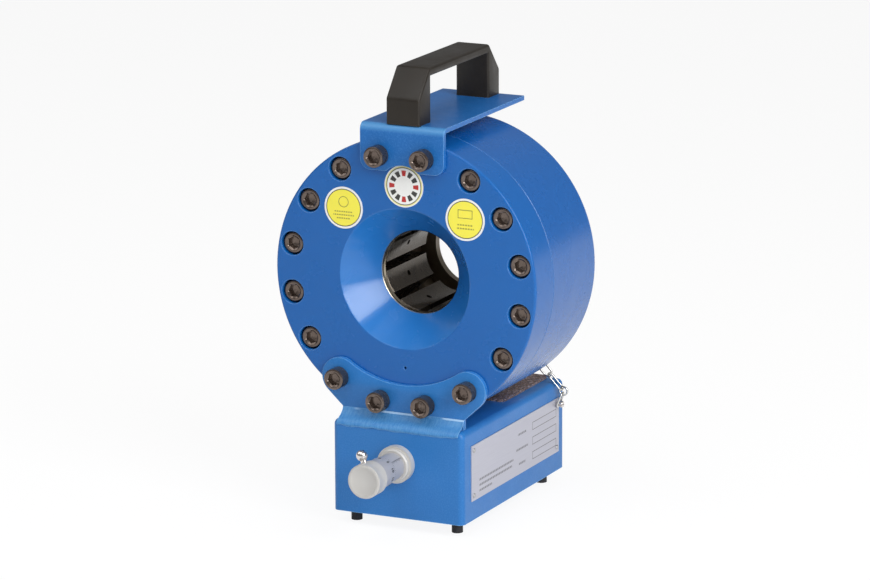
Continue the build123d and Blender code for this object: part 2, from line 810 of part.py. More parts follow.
def limit_switch():
    half = switch_width / 2
    front = saddle_front + saddle_wall + 1
    rear = front + switch_length
    case = block((-half, half), (front, rear),
                 (micrometer_height - switch_height / 2, micrometer_height + switch_height / 2))
    return case - rod(plunger_radius + running_clearance, rear - plunger_socket, rear, z=micrometer_height)


def switch_plunger():
    rear = saddle_front + saddle_wall + 1 + switch_length
    start = rear - plunger_socket + plunger_travel + 0.3
    return rod(plunger_radius, start, rear + plunger_reach, z=micrometer_height)


# ---- follower ------------------------------------------------------------------------------------------

def follower_arm():
    front, rear = tail_rear, tail_rear + arm_sheet
    middle = arm_screw_height()
    half = arm_width / 2
    low = micrometer_height - arm_width / 2
    arm = block((-half, half), (front, rear), (low, middle + arm_yoke_height / 2))
    yoke = block((-arm_yoke_width / 2, arm_yoke_width / 2), (front, rear),
                 (middle - arm_yoke_height / 2, middle + arm_yoke_height / 2))
    arm = arm + yoke - rod(throat_radius, front, rear)
    for side in (-1, 1):
        arm -= rod(arm_screw_radius + bolt_clearance, front, rear, side * arm_screw_spacing / 2, middle)
    return arm - rod(stop_rod_radius + thread_clearance, front, rear, z=micrometer_height)


def arm_screws():
    screws = []
    for side in (-1, 1):
        screw = socket_screw(-arm_screw_head_height, arm_sheet + arm_screw_grip, arm_screw_radius,
                             arm_screw_head_radius, arm_screw_head_height, arm_screw_head_height,
                             arm_screw_head_height / 2)
        place = Location((side * arm_screw_spacing / 2, tail_rear + arm_sheet, arm_screw_height()))
        screws.append(place * Rot(0, 0, 180) * screw)
    return screws


def stop_rod():
    """Reaches as far as the switch plunger when the piston is forward and the switch fully back."""
    plunger_tip = saddle_front + saddle_wall + 1 + switch_length + plunger_reach
    tip = plunger_tip + piston_stroke + spindle_travel + soft_gap
    return rod(stop_rod_radius, tip, tail_rear + arm_sheet, z=micrometer_height)


# ---- hydraulic connection --------------------------------------------------------------------------------

def port_adapter():
    hex_rear = body_rear + adapter_hex_depth
    neck_rear = hex_rear + adapter_neck_depth
    body = rod(port_radius, body_rear - port_thread_depth, body_rear, port_x, -port_drop)
    body += hexagon(adapter_flats, body_rear, hex_rear, port_x, -port_drop)
    body += rod(adapter_neck_radius, hex_rear, neck_rear, port_x, -port_drop)
    return body - rod(oil_way_radius, body_rear - port_thread_depth, neck_rear, port_x, -port_drop)


def coupling_front():
    return body_rear + adapter_hex_depth + adapter_neck_depth


def quick_coupling():
    front = coupling_front()
    rear = front + coupling_depth
    body = rod(coupling_radius, front, rear, port_x, -port_drop)
    body = chamfer(body.edges().filter_by(GeomType.CIRCLE), edge_break)
    body += rod(coupling_nose_radius, rear - edge_break, rear + coupling_nose_depth, port_x, -port_drop)
    return body - rod(oil_way_radius, front, rear + coupling_nose_depth, port_x, -port_drop)


def dust_cap():
    front = coupling_front() + coupling_depth
    rear = front + coupling_nose_depth + cap_end
    cup = rod(coupling_nose_radius + cap_wall, front, rear, port_x, -port_drop)
    cup = chamfer(cup.edges().filter_by(GeomType.CIRCLE).sort_by(Axis.Y)[-1], edge_break)
    cup -= rod(coupling_nose_radius + soft_gap, front, front + coupling_nose_depth, port_x, -port_drop)
    half = cap_eye_sheet / 2
    reach = cap_eye_reach()
    root = coupling_nose_radius + cap_wall / 2
    eye = rod(cap_eye_radius, -half, half, z=reach)
    eye += block((-cap_eye_radius, cap_eye_radius), (-half, half), (root, reach))
    eye -= rod(cap_eye_hole, -half, half, z=reach)
    place = Location((port_x, cap_eye_depth(), -port_drop)) * Rot(0, cap_eye_angle, 0)
    return cup + place * eye


def cap_eye_reach():
    return coupling_nose_radius + cap_wall + cap_eye_radius


def cap_eye_depth():
    return coupling_front() + coupling_depth + coupling_nose_depth + cap_end / 2


# ---- tether chain -----------------------------------------------------------------------------------------

def chain_screw():
    y, z = chain_screw_place()
    side = base_width / 2
    face = side + nameplate_sheet
    seat = face + chain_screw_stand
    screw = across(rivet_shank_radius, side - base_sheet, face, y, z)
    screw += across(chain_screw_shoulder, face, seat, y, z)
    head = across(chain_screw_head, seat, seat + chain_screw_head_height, y, z)
    screw += chamfer(head.faces().sort_by(Axis.X)[-1].edges(), chain_screw_head_height / 4)
    slot = chain_screw_slot / 2
    top = seat + chain_screw_head_height
    return screw - block((top - chain_screw_slot, top), (y - chain_screw_head, y + chain_screw_head),
                         (z - slot, z + slot))


def chain_link(inside_length, middle, along, square):
    """A wire link of that inside length; square is the direction across its plane."""
    bend = link_inside_width / 2 + link_wire_radius
    half = (inside_length - link_inside_width) / 2
    upper = Location((0, half, 0)) * Torus(bend, link_wire_radius)
    lower = Location((0, -half, 0)) * Torus(bend, link_wire_radius)
    room = 2 * bend
    if half > 0:
        upper &= Location((0, half + room, 0)) * Box(2 * room, 2 * room, 2 * room)
        lower &= Location((0, -half - room, 0)) * Box(2 * room, 2 * room, 2 * room)
        bars = [Location((side * bend, 0, 0)) * Rot(90, 0, 0) * Cylinder(link_wire_radius, 2 * half)
                for side in (-1, 1)]
        link = upper + lower + bars
    else:
        link = upper
    frame = Plane(origin=middle, x_dir=along.cross(square), z_dir=square)
    return frame.location * link


def chain():
    """From the screw up past the edge of the base, then straight to the cap's eye."""
    y, z = chain_screw_place()
    lean = radians(first_link_lean)
    up = Vector(sin(lean), 0, cos(lean))
    end_wire = (chain_screw_shoulder + link_wire_radius + link_slack) / cos(lean)
    stand = link_wire_radius + end_wire * sin(lean) + link_slack
    screw = Vector(base_width / 2 + nameplate_sheet + stand, y, z)
    first = screw + up * (first_link_length / 2 + link_wire_radius - end_wire)
    ring = first + up * ((first_link_length + link_inside_width) / 2 - link_slack)
    turn = radians(cap_eye_angle)
    eye = Vector(port_x + cap_eye_reach() * sin(turn), cap_eye_depth(), -port_drop + cap_eye_reach() * cos(turn))
    run = (eye - ring).normalized()
    span = (eye - ring).length - link_inside_width / 2 - link_wire_radius + long_link_count * link_slack
    length = span / long_link_count
    flat = up.cross(run).normalized()
    links = [chain_link(first_link_length, first, up, up.cross(flat)),
             chain_link(link_inside_width, ring, run, flat)]
    middle = ring + run * ((link_inside_width + length) / 2 - link_slack)
    for n in range(long_link_count):
        square = run.cross(flat) if n % 2 == 0 else flat
        links.append(chain_link(length, middle, run, square))
        middle += run * (length - link_slack)
    return links


nodes = {
    "front_flange": [front_flange()],
    "cylinder_body": [cylinder_body()],
    "rod_seal": [ring_seal(tail_radius + running_clearance, tail_radius + running_clearance + rod_seal_depth,
                           chamber_rear + rear_wall / 2 - rod_seal_width, rod_seal_width)],
    "wiper_ring": [ring_seal(tail_radius + running_clearance, tail_radius + running_clearance + wiper_depth,
                             body_rear - wiper_width, wiper_width)],
    "flange_screws": head_screws(recessed_screw_angles, counterbore_cover),
    "handle_bracket_screws": head_screws(handle_screw_angles, -bracket_sheet - screw_head_height),
    "base_bracket_screws": head_screws(base_screw_angles, -bracket_sheet - screw_head_height),
    "piston": [piston()],
    "piston_seal": [piston_seal()],
    "die_springs": die_springs(),
    "handle_bracket": [handle_bracket()],
    "carry_handle": [carry_handle()],
    "handle_screws": handle_screws(),
    "base_bracket": [base_bracket()],
    "base_box": [base_box()],
    "base_floor": [base_floor()],
    "feet": feet(),
    "foot_nuts": foot_nuts(),
    "cradle_pad": [cradle_pad()],
    "nameplate": [nameplate()],
    "nameplate_rivets": nameplate_rivets(),
    "label_left": [face_label(-label_pitch)],
    "label_top": [face_label(0)],
    "label_right": [face_label(label_pitch)],
    "micrometer_flange": [micrometer_flange()],
    "micrometer_nut": [micrometer_nut()],
    "micrometer_sleeve": [micrometer_sleeve()],
    "thimble": [thimble()],
    "spindle": [spindle()],
    "lock_screw": [lock_screw()],
    "switch_rail": [switch_rail()],
    "switch_carriage": [switch_carriage()],
    "limit_switch": [limit_switch()],
    "switch_plunger": [switch_plunger()],
    "follower_arm": [follower_arm()],
    "arm_screws": arm_screws(),
    "stop_rod": [stop_rod()],
    "port_adapter": [port_adapter()],
    "quick_coupling": [quick_coupling()],
    "dust_cap": [dust_cap()],
    "chain_screw": [chain_screw()],
    "tether_chain": chain(),
}
for number, die in enumerate(master_dies(), start=1):
    nodes[f"master_die_{number}"] = [die]

for name, solids in nodes.items():
    save(name, *solids)
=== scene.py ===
import json
import math
import random
import bpy
import bmesh
from mathutils import Matrix, Vector, noise


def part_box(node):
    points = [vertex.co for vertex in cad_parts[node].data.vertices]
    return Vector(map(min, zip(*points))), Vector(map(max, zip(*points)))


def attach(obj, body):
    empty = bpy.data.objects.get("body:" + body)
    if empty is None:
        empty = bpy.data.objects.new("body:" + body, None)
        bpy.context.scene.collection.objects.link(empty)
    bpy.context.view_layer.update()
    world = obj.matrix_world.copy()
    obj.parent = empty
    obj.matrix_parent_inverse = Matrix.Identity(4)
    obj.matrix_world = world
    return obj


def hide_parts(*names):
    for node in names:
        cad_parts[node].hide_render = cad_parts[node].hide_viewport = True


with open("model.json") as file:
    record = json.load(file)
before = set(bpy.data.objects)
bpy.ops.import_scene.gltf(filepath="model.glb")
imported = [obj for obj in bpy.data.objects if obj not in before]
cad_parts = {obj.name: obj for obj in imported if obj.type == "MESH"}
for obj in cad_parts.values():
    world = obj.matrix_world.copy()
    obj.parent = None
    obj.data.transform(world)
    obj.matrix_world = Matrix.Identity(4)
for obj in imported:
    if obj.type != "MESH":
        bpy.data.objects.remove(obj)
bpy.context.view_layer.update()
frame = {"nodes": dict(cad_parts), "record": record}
random.seed(7)
mm = 0.001
nodes = frame["nodes"]

# places that every piece is set from
flangeLow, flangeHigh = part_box("front_flange")
head = {
    "face": flangeLow.y,  # front face of the head
    "axisHeight": (flangeLow.z + flangeHigh.z) / 2,
}


def onHead(angle, reach, depth=0.0):
    # clockwise from the top as seen from the front, depth runs to the rear
    turn = math.radians(angle)
    return Vector((reach * math.sin(turn), head["face"] + depth, head["axisHeight"] + reach * math.cos(turn)))


class Signal:
    def __init__(self, finish, socket):
        self.finish = finish
        self.socket = socket

    def combined(self, operation, *values):
        return self.finish.node("ShaderNodeMath", {"operation": operation}, dict(enumerate(values)))

    def calc(self, operation, *others):
        return self.combined(operation, self, *others)

    def __add__(self, other):
        return self.calc("ADD", other)

    __radd__ = __add__

    def __sub__(self, other):
        return self.calc("SUBTRACT", other)

    def __rsub__(self, other):
        return self.combined("SUBTRACT", other, self)

    def __mul__(self, other):
        return self.calc("MULTIPLY", other)

    __rmul__ = __mul__

    def __truediv__(self, other):
        return self.calc("DIVIDE", other)

    def __lt__(self, other):
        return self.calc("LESS_THAN", other)

    def __gt__(self, other):
        return self.calc("GREATER_THAN", other)

    def size(self):
        return self.calc("ABSOLUTE")

    def atLeast(self, other):
        return self.calc("MAXIMUM", other)

    def toWhole(self):
        # distance to the nearest whole number
        return (self - self.calc("ROUND")).size()

    def across(self, other):
        # length of the two together
        return (self * self + other * other).calc("SQRT")


class Nodes:
    def __init__(self, tree, shader):
        self.tree = tree
        self.shader = tree.nodes[shader]

    def set(self, socketName, value):
        socket = self.shader.inputs[socketName]
        if isinstance(value, Signal):
            self.tree.links.new(value.socket, socket)
        else:
            socket.default_value = value

    def node(self, kind, settings=None, values=None, output=0):
        made = self.tree.nodes.new(kind)
        for key, value in (settings or {}).items():
            if key == "stops":
                while len(made.color_ramp.elements) < len(value):
                    made.color_ramp.elements.new(0.5)
                for stop, (position, color) in zip(made.color_ramp.elements, value):
                    stop.position = position
                    stop.color = (*color, 1)
            else:
                setattr(made, key, value)
        for key, value in (values or {}).items():
            if isinstance(value, Signal):
                self.tree.links.new(value.socket, made.inputs[key])
            else:
                made.inputs[key].default_value = value
        return Signal(self, made.outputs[output])


class Finish(Nodes):
    def __init__(self, name, color, roughness, metallic=0.0, **fixed):
        self.material = bpy.data.materials.new(name)
        self.material.use_nodes = True
        super().__init__(self.material.node_tree, "Principled BSDF")
        self.place = None
        self.set("Base Color", (*color, 1))
        self.set("Roughness", roughness)
        self.set("Metallic", metallic)
        for socketName, value in fixed.items():
            self.set(socketName.replace("_", " "), value)

    def spot(self, origin=(0, 0, 0), turn=(0, 0, 0), stretch=(1, 1, 1)):
        if self.place is None:
            self.place = self.node("ShaderNodeTexCoord", output="Object")
        if (tuple(origin), tuple(turn), tuple(stretch)) == ((0, 0, 0), (0, 0, 0), (1, 1, 1)):
            return self.place
        moved = self.node("ShaderNodeVectorMath", {"operation": "SUBTRACT"},
                          {0: self.place, 1: tuple(origin)})
        return self.node("ShaderNodeMapping", None, {"Vector": moved, "Rotation": turn, "Scale": stretch})

    def axes(self, place):
        return [self.node("ShaderNodeSeparateXYZ", None, {0: place}, output=axis) for axis in "XYZ"]

    def noise(self, scale, detail=3.0, roughness=0.5, place=None):
        return self.node("ShaderNodeTexNoise", None, {
            "Vector": place or self.spot(), "Scale": scale, "Detail": detail, "Roughness": roughness})

    def cells(self, scale, output="Distance"):
        return self.node("ShaderNodeTexVoronoi", None, {"Vector": self.spot(), "Scale": scale}, output=output)

    def ramp(self, signal, *stops):
        return self.node("ShaderNodeValToRGB", {"stops": stops}, {0: signal})

    def level(self, signal, low, high, newLow, newHigh):
        return self.node("ShaderNodeMapRange", {"clamp": True}, {
            "Value": signal, "From Min": low, "From Max": high, "To Min": newLow, "To Max": newHigh})

    def mix(self, factor, first, second):
        def color(value):
            return value if isinstance(value, Signal) else (*value, 1)
        return self.node("ShaderNodeMix", {"data_type": "RGBA"}, {
            "Factor": factor, 6: color(first), 7: color(second)}, output=2)

    def edges(self, radius, low=0.02, high=0.25):
        # 1 along edges, 0 on flats
        rounded = self.node("ShaderNodeBevel", {"samples": 6}, {"Radius": radius})
        normal = self.node("ShaderNodeNewGeometry", output="Normal")
        dot = self.node("ShaderNodeVectorMath", {"operation": "DOT_PRODUCT"}, {0: rounded, 1: normal},
                        output="Value")
        return self.level(1 - dot, low, high, 0.0, 1.0)

    def bump(self, height, strength, distance):
        self.set("Normal", self.node("ShaderNodeBump", None, {
            "Height": height, "Strength": strength, "Distance": distance}))


paint = {
    "color": (0.002, 0.112, 0.415), "light": (0.022, 0.185, 0.53), "deep": (0.0, 0.085, 0.36),
    "chip": (0.07, 0.28, 0.66), "edgeHighlight": (0.30, 0.58, 0.88), "bend": (0.12, 0.36, 0.66),
    "cloud": 14, "grain": 900, "peel": 620, "wear": 60, "edge": 0.8 * mm, "relief": 0.05 * mm,
}


def bluePaint(name, grainStrength, lighten, roughness, gloss=0.4):
    # lighten runs from 0 to 1, the paler paint of the sheet parts
    finish = Finish(name, paint["color"], roughness, Specular_IOR_Level=gloss)
    broad = finish.noise(paint["cloud"], 3)
    fine = finish.noise(paint["grain"], 2, 0.6)
    color = finish.mix(lighten, paint["color"], paint["light"])
    color = finish.mix(finish.level(broad, 0.35, 0.65, 0.0, 0.12), color, paint["deep"])
    color = finish.mix(finish.level(fine, 0.45, 0.75, 0.0, 0.5 * grainStrength), color, paint["chip"])
    # edges painted paler: a painted highlight along every edge
    finish.color = finish.mix(finish.edges(paint["edge"], 0.006, 0.09) * 0.85, color, paint["edgeHighlight"])
    finish.set("Base Color", finish.color)
    wear = finish.noise(paint["wear"], 3)
    finish.set("Roughness", finish.level(wear, 0.3, 0.7, roughness - 0.04, roughness + 0.05))
    peel = finish.noise(paint["peel"], 1.5, 0.4)
    finish.bump(peel + grainStrength * fine, 0.25 + 0.3 * grainStrength, paint["relief"])
    return finish


def scaled(color, share, lift=0.0):
    return [min(1, share * channel + lift) for channel in color]


cone = {
    "mouth": 60 * mm, "throat": 35 * mm, "lip": 0.9 * mm, "gloss": 0.5, "sheen": 0.14,
    "light": (0.02, 0.19, 0.56), "bare": (0.62, 0.55, 0.42),
}


def flangePaint():
    # smoother paint in the cone, painted paler there as painted light, and bare steel on the lip round the throat
    finish = bluePaint("flangePaint", 0.15, 0.1, 0.24)
    x, y, z = finish.axes(finish.spot((0, 0, head["axisHeight"])))
    reach = x.across(z)
    lip = reach < cone["throat"] + cone["lip"]
    # painted light: the cone is painted paler than the face
    color = finish.mix((reach < cone["mouth"]) * 0.8, finish.color, cone["light"])
    finish.set("Base Color", finish.mix(lip, color, cone["bare"]))
    finish.set("Metallic", lip)
    inCone = (reach < cone["mouth"]) * (reach > cone["throat"] + cone["lip"])
    finish.set("Coat Weight", inCone * cone["gloss"])
    finish.set("Coat Roughness", cone["sheen"])
    return finish.material


def bentPaint():
    # paint of the handle bracket, with a painted highlight along the bend
    finish = bluePaint("bracketPaint", 0.7, 0.4, 0.36)
    low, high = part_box("handle_bracket")
    x, y, z = finish.axes(finish.spot())
    inwards = ((y - low.y) + (high.z - z)) / mm
    # painted highlight: paler paint within a few mm of the bend
    bendHighlight = finish.level(inwards, 3.0, 7.0, 0.75, 0.0)
    finish.set("Base Color", finish.mix(bendHighlight, finish.color, paint["bend"]))
    return finish.material


def darkSteel(name, color, bright, roughness, scratch, metallic=0.7, edge=0.5 * mm):
    finish = Finish(name, color, roughness, metallic)
    cloud = finish.noise(90, 4, 0.6)
    turned = finish.noise(1, 3, 0.7, finish.spot(stretch=(60, 2600, 60)))
    shade = finish.mix(finish.level(cloud, 0.3, 0.75, 0.0, 0.7), color, bright)
    # edges painted paler: partly worn edges, partly a painted highlight
    shade = finish.mix(finish.edges(edge) * 0.8, shade, scaled(bright, 2.4, 0.14))
    finish.set("Base Color", shade)
    finish.set("Roughness", finish.level(cloud, 0.3, 0.7, roughness - 0.06, roughness + 0.1))
    finish.bump(turned * scratch + cloud * 0.4, 0.3, 0.03 * mm)
    return finish.material


def groundSteel(name, color, roughness, grain=700):
    finish = Finish(name, color, roughness, 1.0)
    cloud = finish.noise(120, 4, 0.6)
    lines = finish.noise(1, 2, 0.6, finish.spot(stretch=(grain, grain, 40)))
    finish.set("Base Color", finish.mix(finish.level(cloud, 0.3, 0.7, 0.0, 0.35), color, scaled(color, 0.7)))
    finish.set("Roughness", finish.level(lines, 0.3, 0.7, roughness - 0.05, roughness + 0.08))
    finish.bump(lines, 0.2, 0.01 * mm)
    return finish.material


def mouldedPlastic(name, color, sheen, grain=1500, roughness=0.42):
    finish = Finish(name, color, roughness, Specular_IOR_Level=0.35)
    leather = finish.cells(grain)
    cloud = finish.noise(50, 3)
    shade = finish.mix(finish.level(cloud, 0.3, 0.7, 0.0, 0.5), color, sheen)
    # edges painted paler: a painted highlight
    finish.set("Base Color", finish.mix(finish.edges(1.5 * mm) * 0.5, shade, scaled(sheen, 1.8, 0.01)))
    finish.set("Roughness", finish.level(cloud, 0.3, 0.7, roughness - 0.07, roughness + 0.08))
    finish.bump(leather, 0.35, 0.06 * mm)
    return finish.material


def softRubber(name, color, roughness=0.75):
    finish = Finish(name, color, roughness)
    dust = finish.noise(260, 5, 0.7)
    finish.set("Base Color", finish.mix(finish.level(dust, 0.45, 0.8, 0.0, 0.6), color, scaled(color, 1, 0.08)))
    finish.set("Roughness", finish.level(dust, 0.3, 0.7, roughness - 0.08, roughness + 0.08))
    finish.bump(dust, 0.3, 0.05 * mm)
    return finish.material


mat = {
    "color": (0.1, 0.08, 0.08), "crumbs": 900,
    "tones": [(0.0, (0.05, 0.06, 0.10)), (0.35, (0.16, 0.105, 0.095)), (0.75, (0.32, 0.21, 0.16)),
              (1.0, (0.46, 0.42, 0.48))],
}


def corkRubber(name):
    finish = Finish(name, mat["color"], 0.85)
    crumb = finish.cells(mat["crumbs"], output="Color")
    tone = finish.node("ShaderNodeSeparateColor", None, {0: crumb})
    finish.set("Base Color", finish.ramp(tone, *mat["tones"]))
    finish.set("Roughness", finish.level(tone, 0.0, 1.0, 0.7, 0.95))
    finish.bump(finish.cells(mat["crumbs"]), 0.5, 0.2 * mm)
    return finish.material


def blastedAluminium(name, color):
    finish = Finish(name, color, 0.42, 0.15, Coat_Weight=0.15, Coat_Roughness=0.3)
    grain = finish.noise(2600, 2, 0.6)
    cloud = finish.noise(80, 3)
    shade = finish.mix(finish.level(cloud, 0.3, 0.7, 0.0, 0.4), color, scaled(color, 0.88))
    # edges painted near white: a painted highlight
    finish.color = finish.mix(finish.edges(0.5 * mm) * 0.5, shade, (0.82, 0.81, 0.79))
    finish.set("Base Color", finish.color)
    finish.set("Roughness", finish.level(cloud, 0.3, 0.7, 0.36, 0.48))
    finish.bump(grain, 0.25, 0.02 * mm)
    return finish


def brightPlate(name, color, roughness):
    finish = Finish(name, color, roughness, 1.0)
    cloud = finish.noise(300, 3)
    finish.set("Base Color", finish.mix(finish.level(cloud, 0.35, 0.7, 0.0, 0.3), color, scaled(color, 0.75)))
    finish.set("Roughness", finish.level(cloud, 0.3, 0.7, roughness, roughness + 0.08))
    finish.bump(cloud, 0.15, 0.02 * mm)
    return finish.material


headPaint = bluePaint("headPaint", 0.15, 0.0, 0.26, 0.65).material
flangeCoat = flangePaint()
sheetPaint = bluePaint("sheetPaint", 0.7, 1.0, 0.36).material
bracketPaint = bentPaint()
oxideSteel = darkSteel("oxideSteel", (0.13, 0.10, 0.085), (0.22, 0.175, 0.15), 0.22, 0.3, 0.85, 0.45 * mm)
pistonSteel = darkSteel("pistonSteel", (0.22, 0.17, 0.12), (0.32, 0.26, 0.19), 0.36, 0.6, 0.3)
dieSteel = darkSteel("dieSteel", (0.062, 0.050, 0.037), (0.13, 0.105, 0.078), 0.26, 1.0)
plainSteel = groundSteel("plainSteel", (0.50, 0.50, 0.51), 0.32)
springSteel = darkSteel("springSteel", (0.16, 0.16, 0.16), (0.26, 0.26, 0.26), 0.3, 0.2)
zincSteel = groundSteel("zincSteel", (0.62, 0.58, 0.50), 0.28, 400)
sealRubber = softRubber("sealRubber", (0.02, 0.02, 0.02))
footRubber = softRubber("footRubber", (0.022, 0.022, 0.024))
capRubber = softRubber("capRubber", (0.03, 0.03, 0.032), 0.6)
handlePlastic = mouldedPlastic("handlePlastic", (0.016, 0.0125, 0.009), (0.028, 0.022, 0.016))
switchPlastic = mouldedPlastic("switchPlastic", (0.02, 0.02, 0.024), (0.03, 0.03, 0.035))
plungerPlastic = mouldedPlastic("plungerPlastic", (0.42, 0.03, 0.02), (0.5, 0.06, 0.04))
matCork = corkRubber("matCork")
cream = (0.60, 0.585, 0.56)
creamAluminium = blastedAluminium("creamAluminium", cream).material
brightChrome = brightPlate("brightChrome", (0.74, 0.70, 0.68), 0.14)
chainNickel = brightPlate("chainNickel", (0.74, 0.73, 0.70), 0.14)
print("finishes made")


def newMesh(name, bm, finish, smoothAngle=32.0):
    bmesh.ops.recalc_face_normals(bm, faces=bm.faces)
    mesh = bpy.data.meshes.new(name)
    bm.to_mesh(mesh)
    bm.free()
    mesh.materials.append(finish)
    for polygon in mesh.polygons:
        polygon.use_smooth = True
    mesh.set_sharp_from_angle(angle=math.radians(smoothAngle))
    return mesh


def addPiece(name, mesh, body, slotName, stands=()):
    piece = bpy.data.objects.new(name, mesh)
    bpy.context.scene.collection.objects.link(piece)
    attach(piece, body)
    if stands:
        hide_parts(*stands)
    return piece


def bodyOf(nodeName):
    return next(body for body, names in frame["record"]["behaviour"]["bodies"].items() if nodeName in names)


def slotOf(nodeName):
    return next(part["material_slot"] for part in frame["record"]["subparts"] if part["node"] == nodeName)


def dress(nodeName, finish):
    nodes[nodeName].data.materials.clear()
    nodes[nodeName].data.materials.append(finish)
    slotOf(nodeName)


soft = {"merge": 0.002 * mm, "flat": 0.6, "segments": 2, "angle": 30.0}


def softened(nodeName, width, finish):
    # a merged copy of a CAD node with small bevels on its edges
    bm = bmesh.new()
    bm.from_mesh(nodes[nodeName].data)
    bmesh.ops.remove_doubles(bm, verts=bm.verts, dist=soft["merge"])
    bmesh.ops.dissolve_limit(bm, angle_limit=math.radians(soft["flat"]), verts=bm.verts, edges=bm.edges)
    mesh = newMesh(nodeName + "Soft", bm, finish)
    piece = addPiece(nodeName + "Soft", mesh, bodyOf(nodeName), slotOf(nodeName), [nodeName])
    bevel = piece.modifiers.new("edges", "BEVEL")
    bevel.width = width
    bevel.segments = soft["segments"]
    bevel.limit_method = "ANGLE"
    bevel.angle_limit = math.radians(soft["angle"])
    bevel.use_clamp_overlap = True
    normals = piece.modifiers.new("normals", "WEIGHTED_NORMAL")
    normals.keep_sharp = True


def spunProfile(bm, outline, steps):
    # (radius, height) points spun round Z; the two ends close on the axis when their radius is 0
    points = [bm.verts.new((radius, 0, height)) for radius, height in outline]
    lines = [bm.edges.new(pair) for pair in zip(points, points[1:])]
    bmesh.ops.spin(bm, geom=points + lines, cent=(0, 0, 0), axis=(0, 0, 1), angle=2 * math.pi, steps=steps,
                   use_merge=True)
    bmesh.ops.remove_doubles(bm, verts=bm.verts, dist=0.001 * mm)


def placed(bm, matrix):
    bmesh.ops.transform(bm, matrix=matrix, verts=bm.verts)


def joined(parts):
    whole = bmesh.new()
    for part in parts:
        temporary = bpy.data.meshes.new("part")
        part.to_mesh(temporary)
        part.free()
        whole.from_mesh(temporary)
        bpy.data.meshes.remove(temporary)
    return whole


def vertsOf(geometry):
    return [item for item in geometry if isinstance(item, bmesh.types.BMVert)]


def roundEdges(bm, edges, width, segments):
    bmesh.ops.bevel(bm, geom=edges, offset=width, offset_type="OFFSET", segments=segments, profile=0.5,
                    affect="EDGES", material=-1, clamp_overlap=True)


toFront = Matrix.Rotation(math.radians(90), 4, "X")  # local Z turned to point out of the head's face


# M12 socket head screws, turned, knurled and with a hexagon socket
screws = {
    "circle": 106.75 * mm, "count": 16, "radius": 6 * mm, "headRadius": 9 * mm, "headHeight": 12 * mm,
    "socketFlats": 10 * mm, "socketDepth": 6 * mm, "rounding": 0.11, "knurlRows": 9, "steps": 96,
    "knurlDepth": 0.22 * mm, "recess": 2 * mm, "sheet": 4 * mm, "flange": 36 * mm, "grip": 20 * mm,
    "first": 11.25, "finish": oxideSteel,
}


def socketScrew(length, turn):
    # head's face at height 0, shank pointing down Z
    bm = bmesh.new()
    radius, height, shank = screws["headRadius"], screws["headHeight"], screws["radius"]
    flat, floorAt, steps = screws["socketFlats"] / 2, -screws["socketDepth"], screws["steps"]
    corner = flat / math.cos(math.radians(30))
    edge = screws["rounding"] * radius
    rowHeight = (height - 2 * edge) / screws["knurlRows"]
    rows = [(radius, -edge - rowHeight * row) for row in range(screws["knurlRows"] + 1)]
    outline = [(0, floorAt - 0.25 * flat), (0.55 * corner, floorAt), (corner, floorAt),
               (corner, -0.09 * height), (1.12 * corner, -0.015 * height), (1.17 * corner, 0), (0.86 * radius, 0),
               (radius - 0.35 * edge, -0.45 * edge), *rows, (radius - edge, -height),
               (shank, -height), (shank, -length + shank / 5), (0.8 * shank, -length), (0, -length)]
    spunProfile(bm, outline, steps)
    wall = [vert for vert in bm.verts if floorAt - 0.001 * mm < vert.co.z < -0.05 * height
            and 0.5 * corner < vert.co.xy.length < 1.01 * corner]
    for vert in wall:  # the round hole drawn in to a hexagon
        around = math.atan2(vert.co.y, vert.co.x) % math.radians(60)
        vert.co.xy *= flat / math.cos(around - math.radians(30)) / corner
    for vert in bm.verts:  # crossed knurl
        if abs(vert.co.xy.length - radius) < 0.01 * mm:
            column = round(math.atan2(vert.co.y, vert.co.x) / (2 * math.pi) * steps)
            row = round((-vert.co.z - edge) / rowHeight)
            if (column + row) % 2:
                vert.co.xy *= 1 - screws["knurlDepth"] / radius
    placed(bm, Matrix.Rotation(turn, 4, "Z"))
    return bm


screwAngles = [screws["first"] + 360 / screws["count"] * n for n in range(screws["count"])]
handleAngles = [11.25, -11.25]
baseAngles = [168.75, 146.25, -168.75, -146.25]
proud = [angle % 360 for angle in handleAngles + baseAngles]
sunk = [angle for angle in screwAngles if angle not in proud]
onSheet = -screws["sheet"] - screws["headHeight"]


def screwRing(name, angles, faceDepth, nodeName):
    parts = []
    for angle in angles:
        length = screws["flange"] + screws["grip"] - faceDepth
        part = socketScrew(length, math.radians(random.uniform(0, 60)))
        placed(part, Matrix.Translation(onHead(angle, screws["circle"], faceDepth)) @ toFront)
        parts.append(part)
    mesh = newMesh(name, joined(parts), screws["finish"], 40)
    addPiece(name, mesh, "head_and_base", "black_oxide", [nodeName])


screwRing("flangeScrewsTurned", sunk, screws["recess"], "flange_screws")
screwRing("handleBracketScrewsTurned", handleAngles, onSheet, "handle_bracket_screws")
screwRing("baseBracketScrewsTurned", baseAngles, onSheet, "base_bracket_screws")
print("screws made")


# softened copies of the painted and machined bodies, and finishes on the other nodes
dieCount = 8
softBodies = {
    "front_flange": (flangeCoat, 0.8 * mm), "cylinder_body": (headPaint, 0.8 * mm),
    "handle_bracket": (bracketPaint, 0.5 * mm),
    **{f"master_die_{n}": (dieSteel, 0.25 * mm) for n in range(1, dieCount + 1)},
}
for nodeName, (finish, width) in softBodies.items():
    softened(nodeName, width, finish)

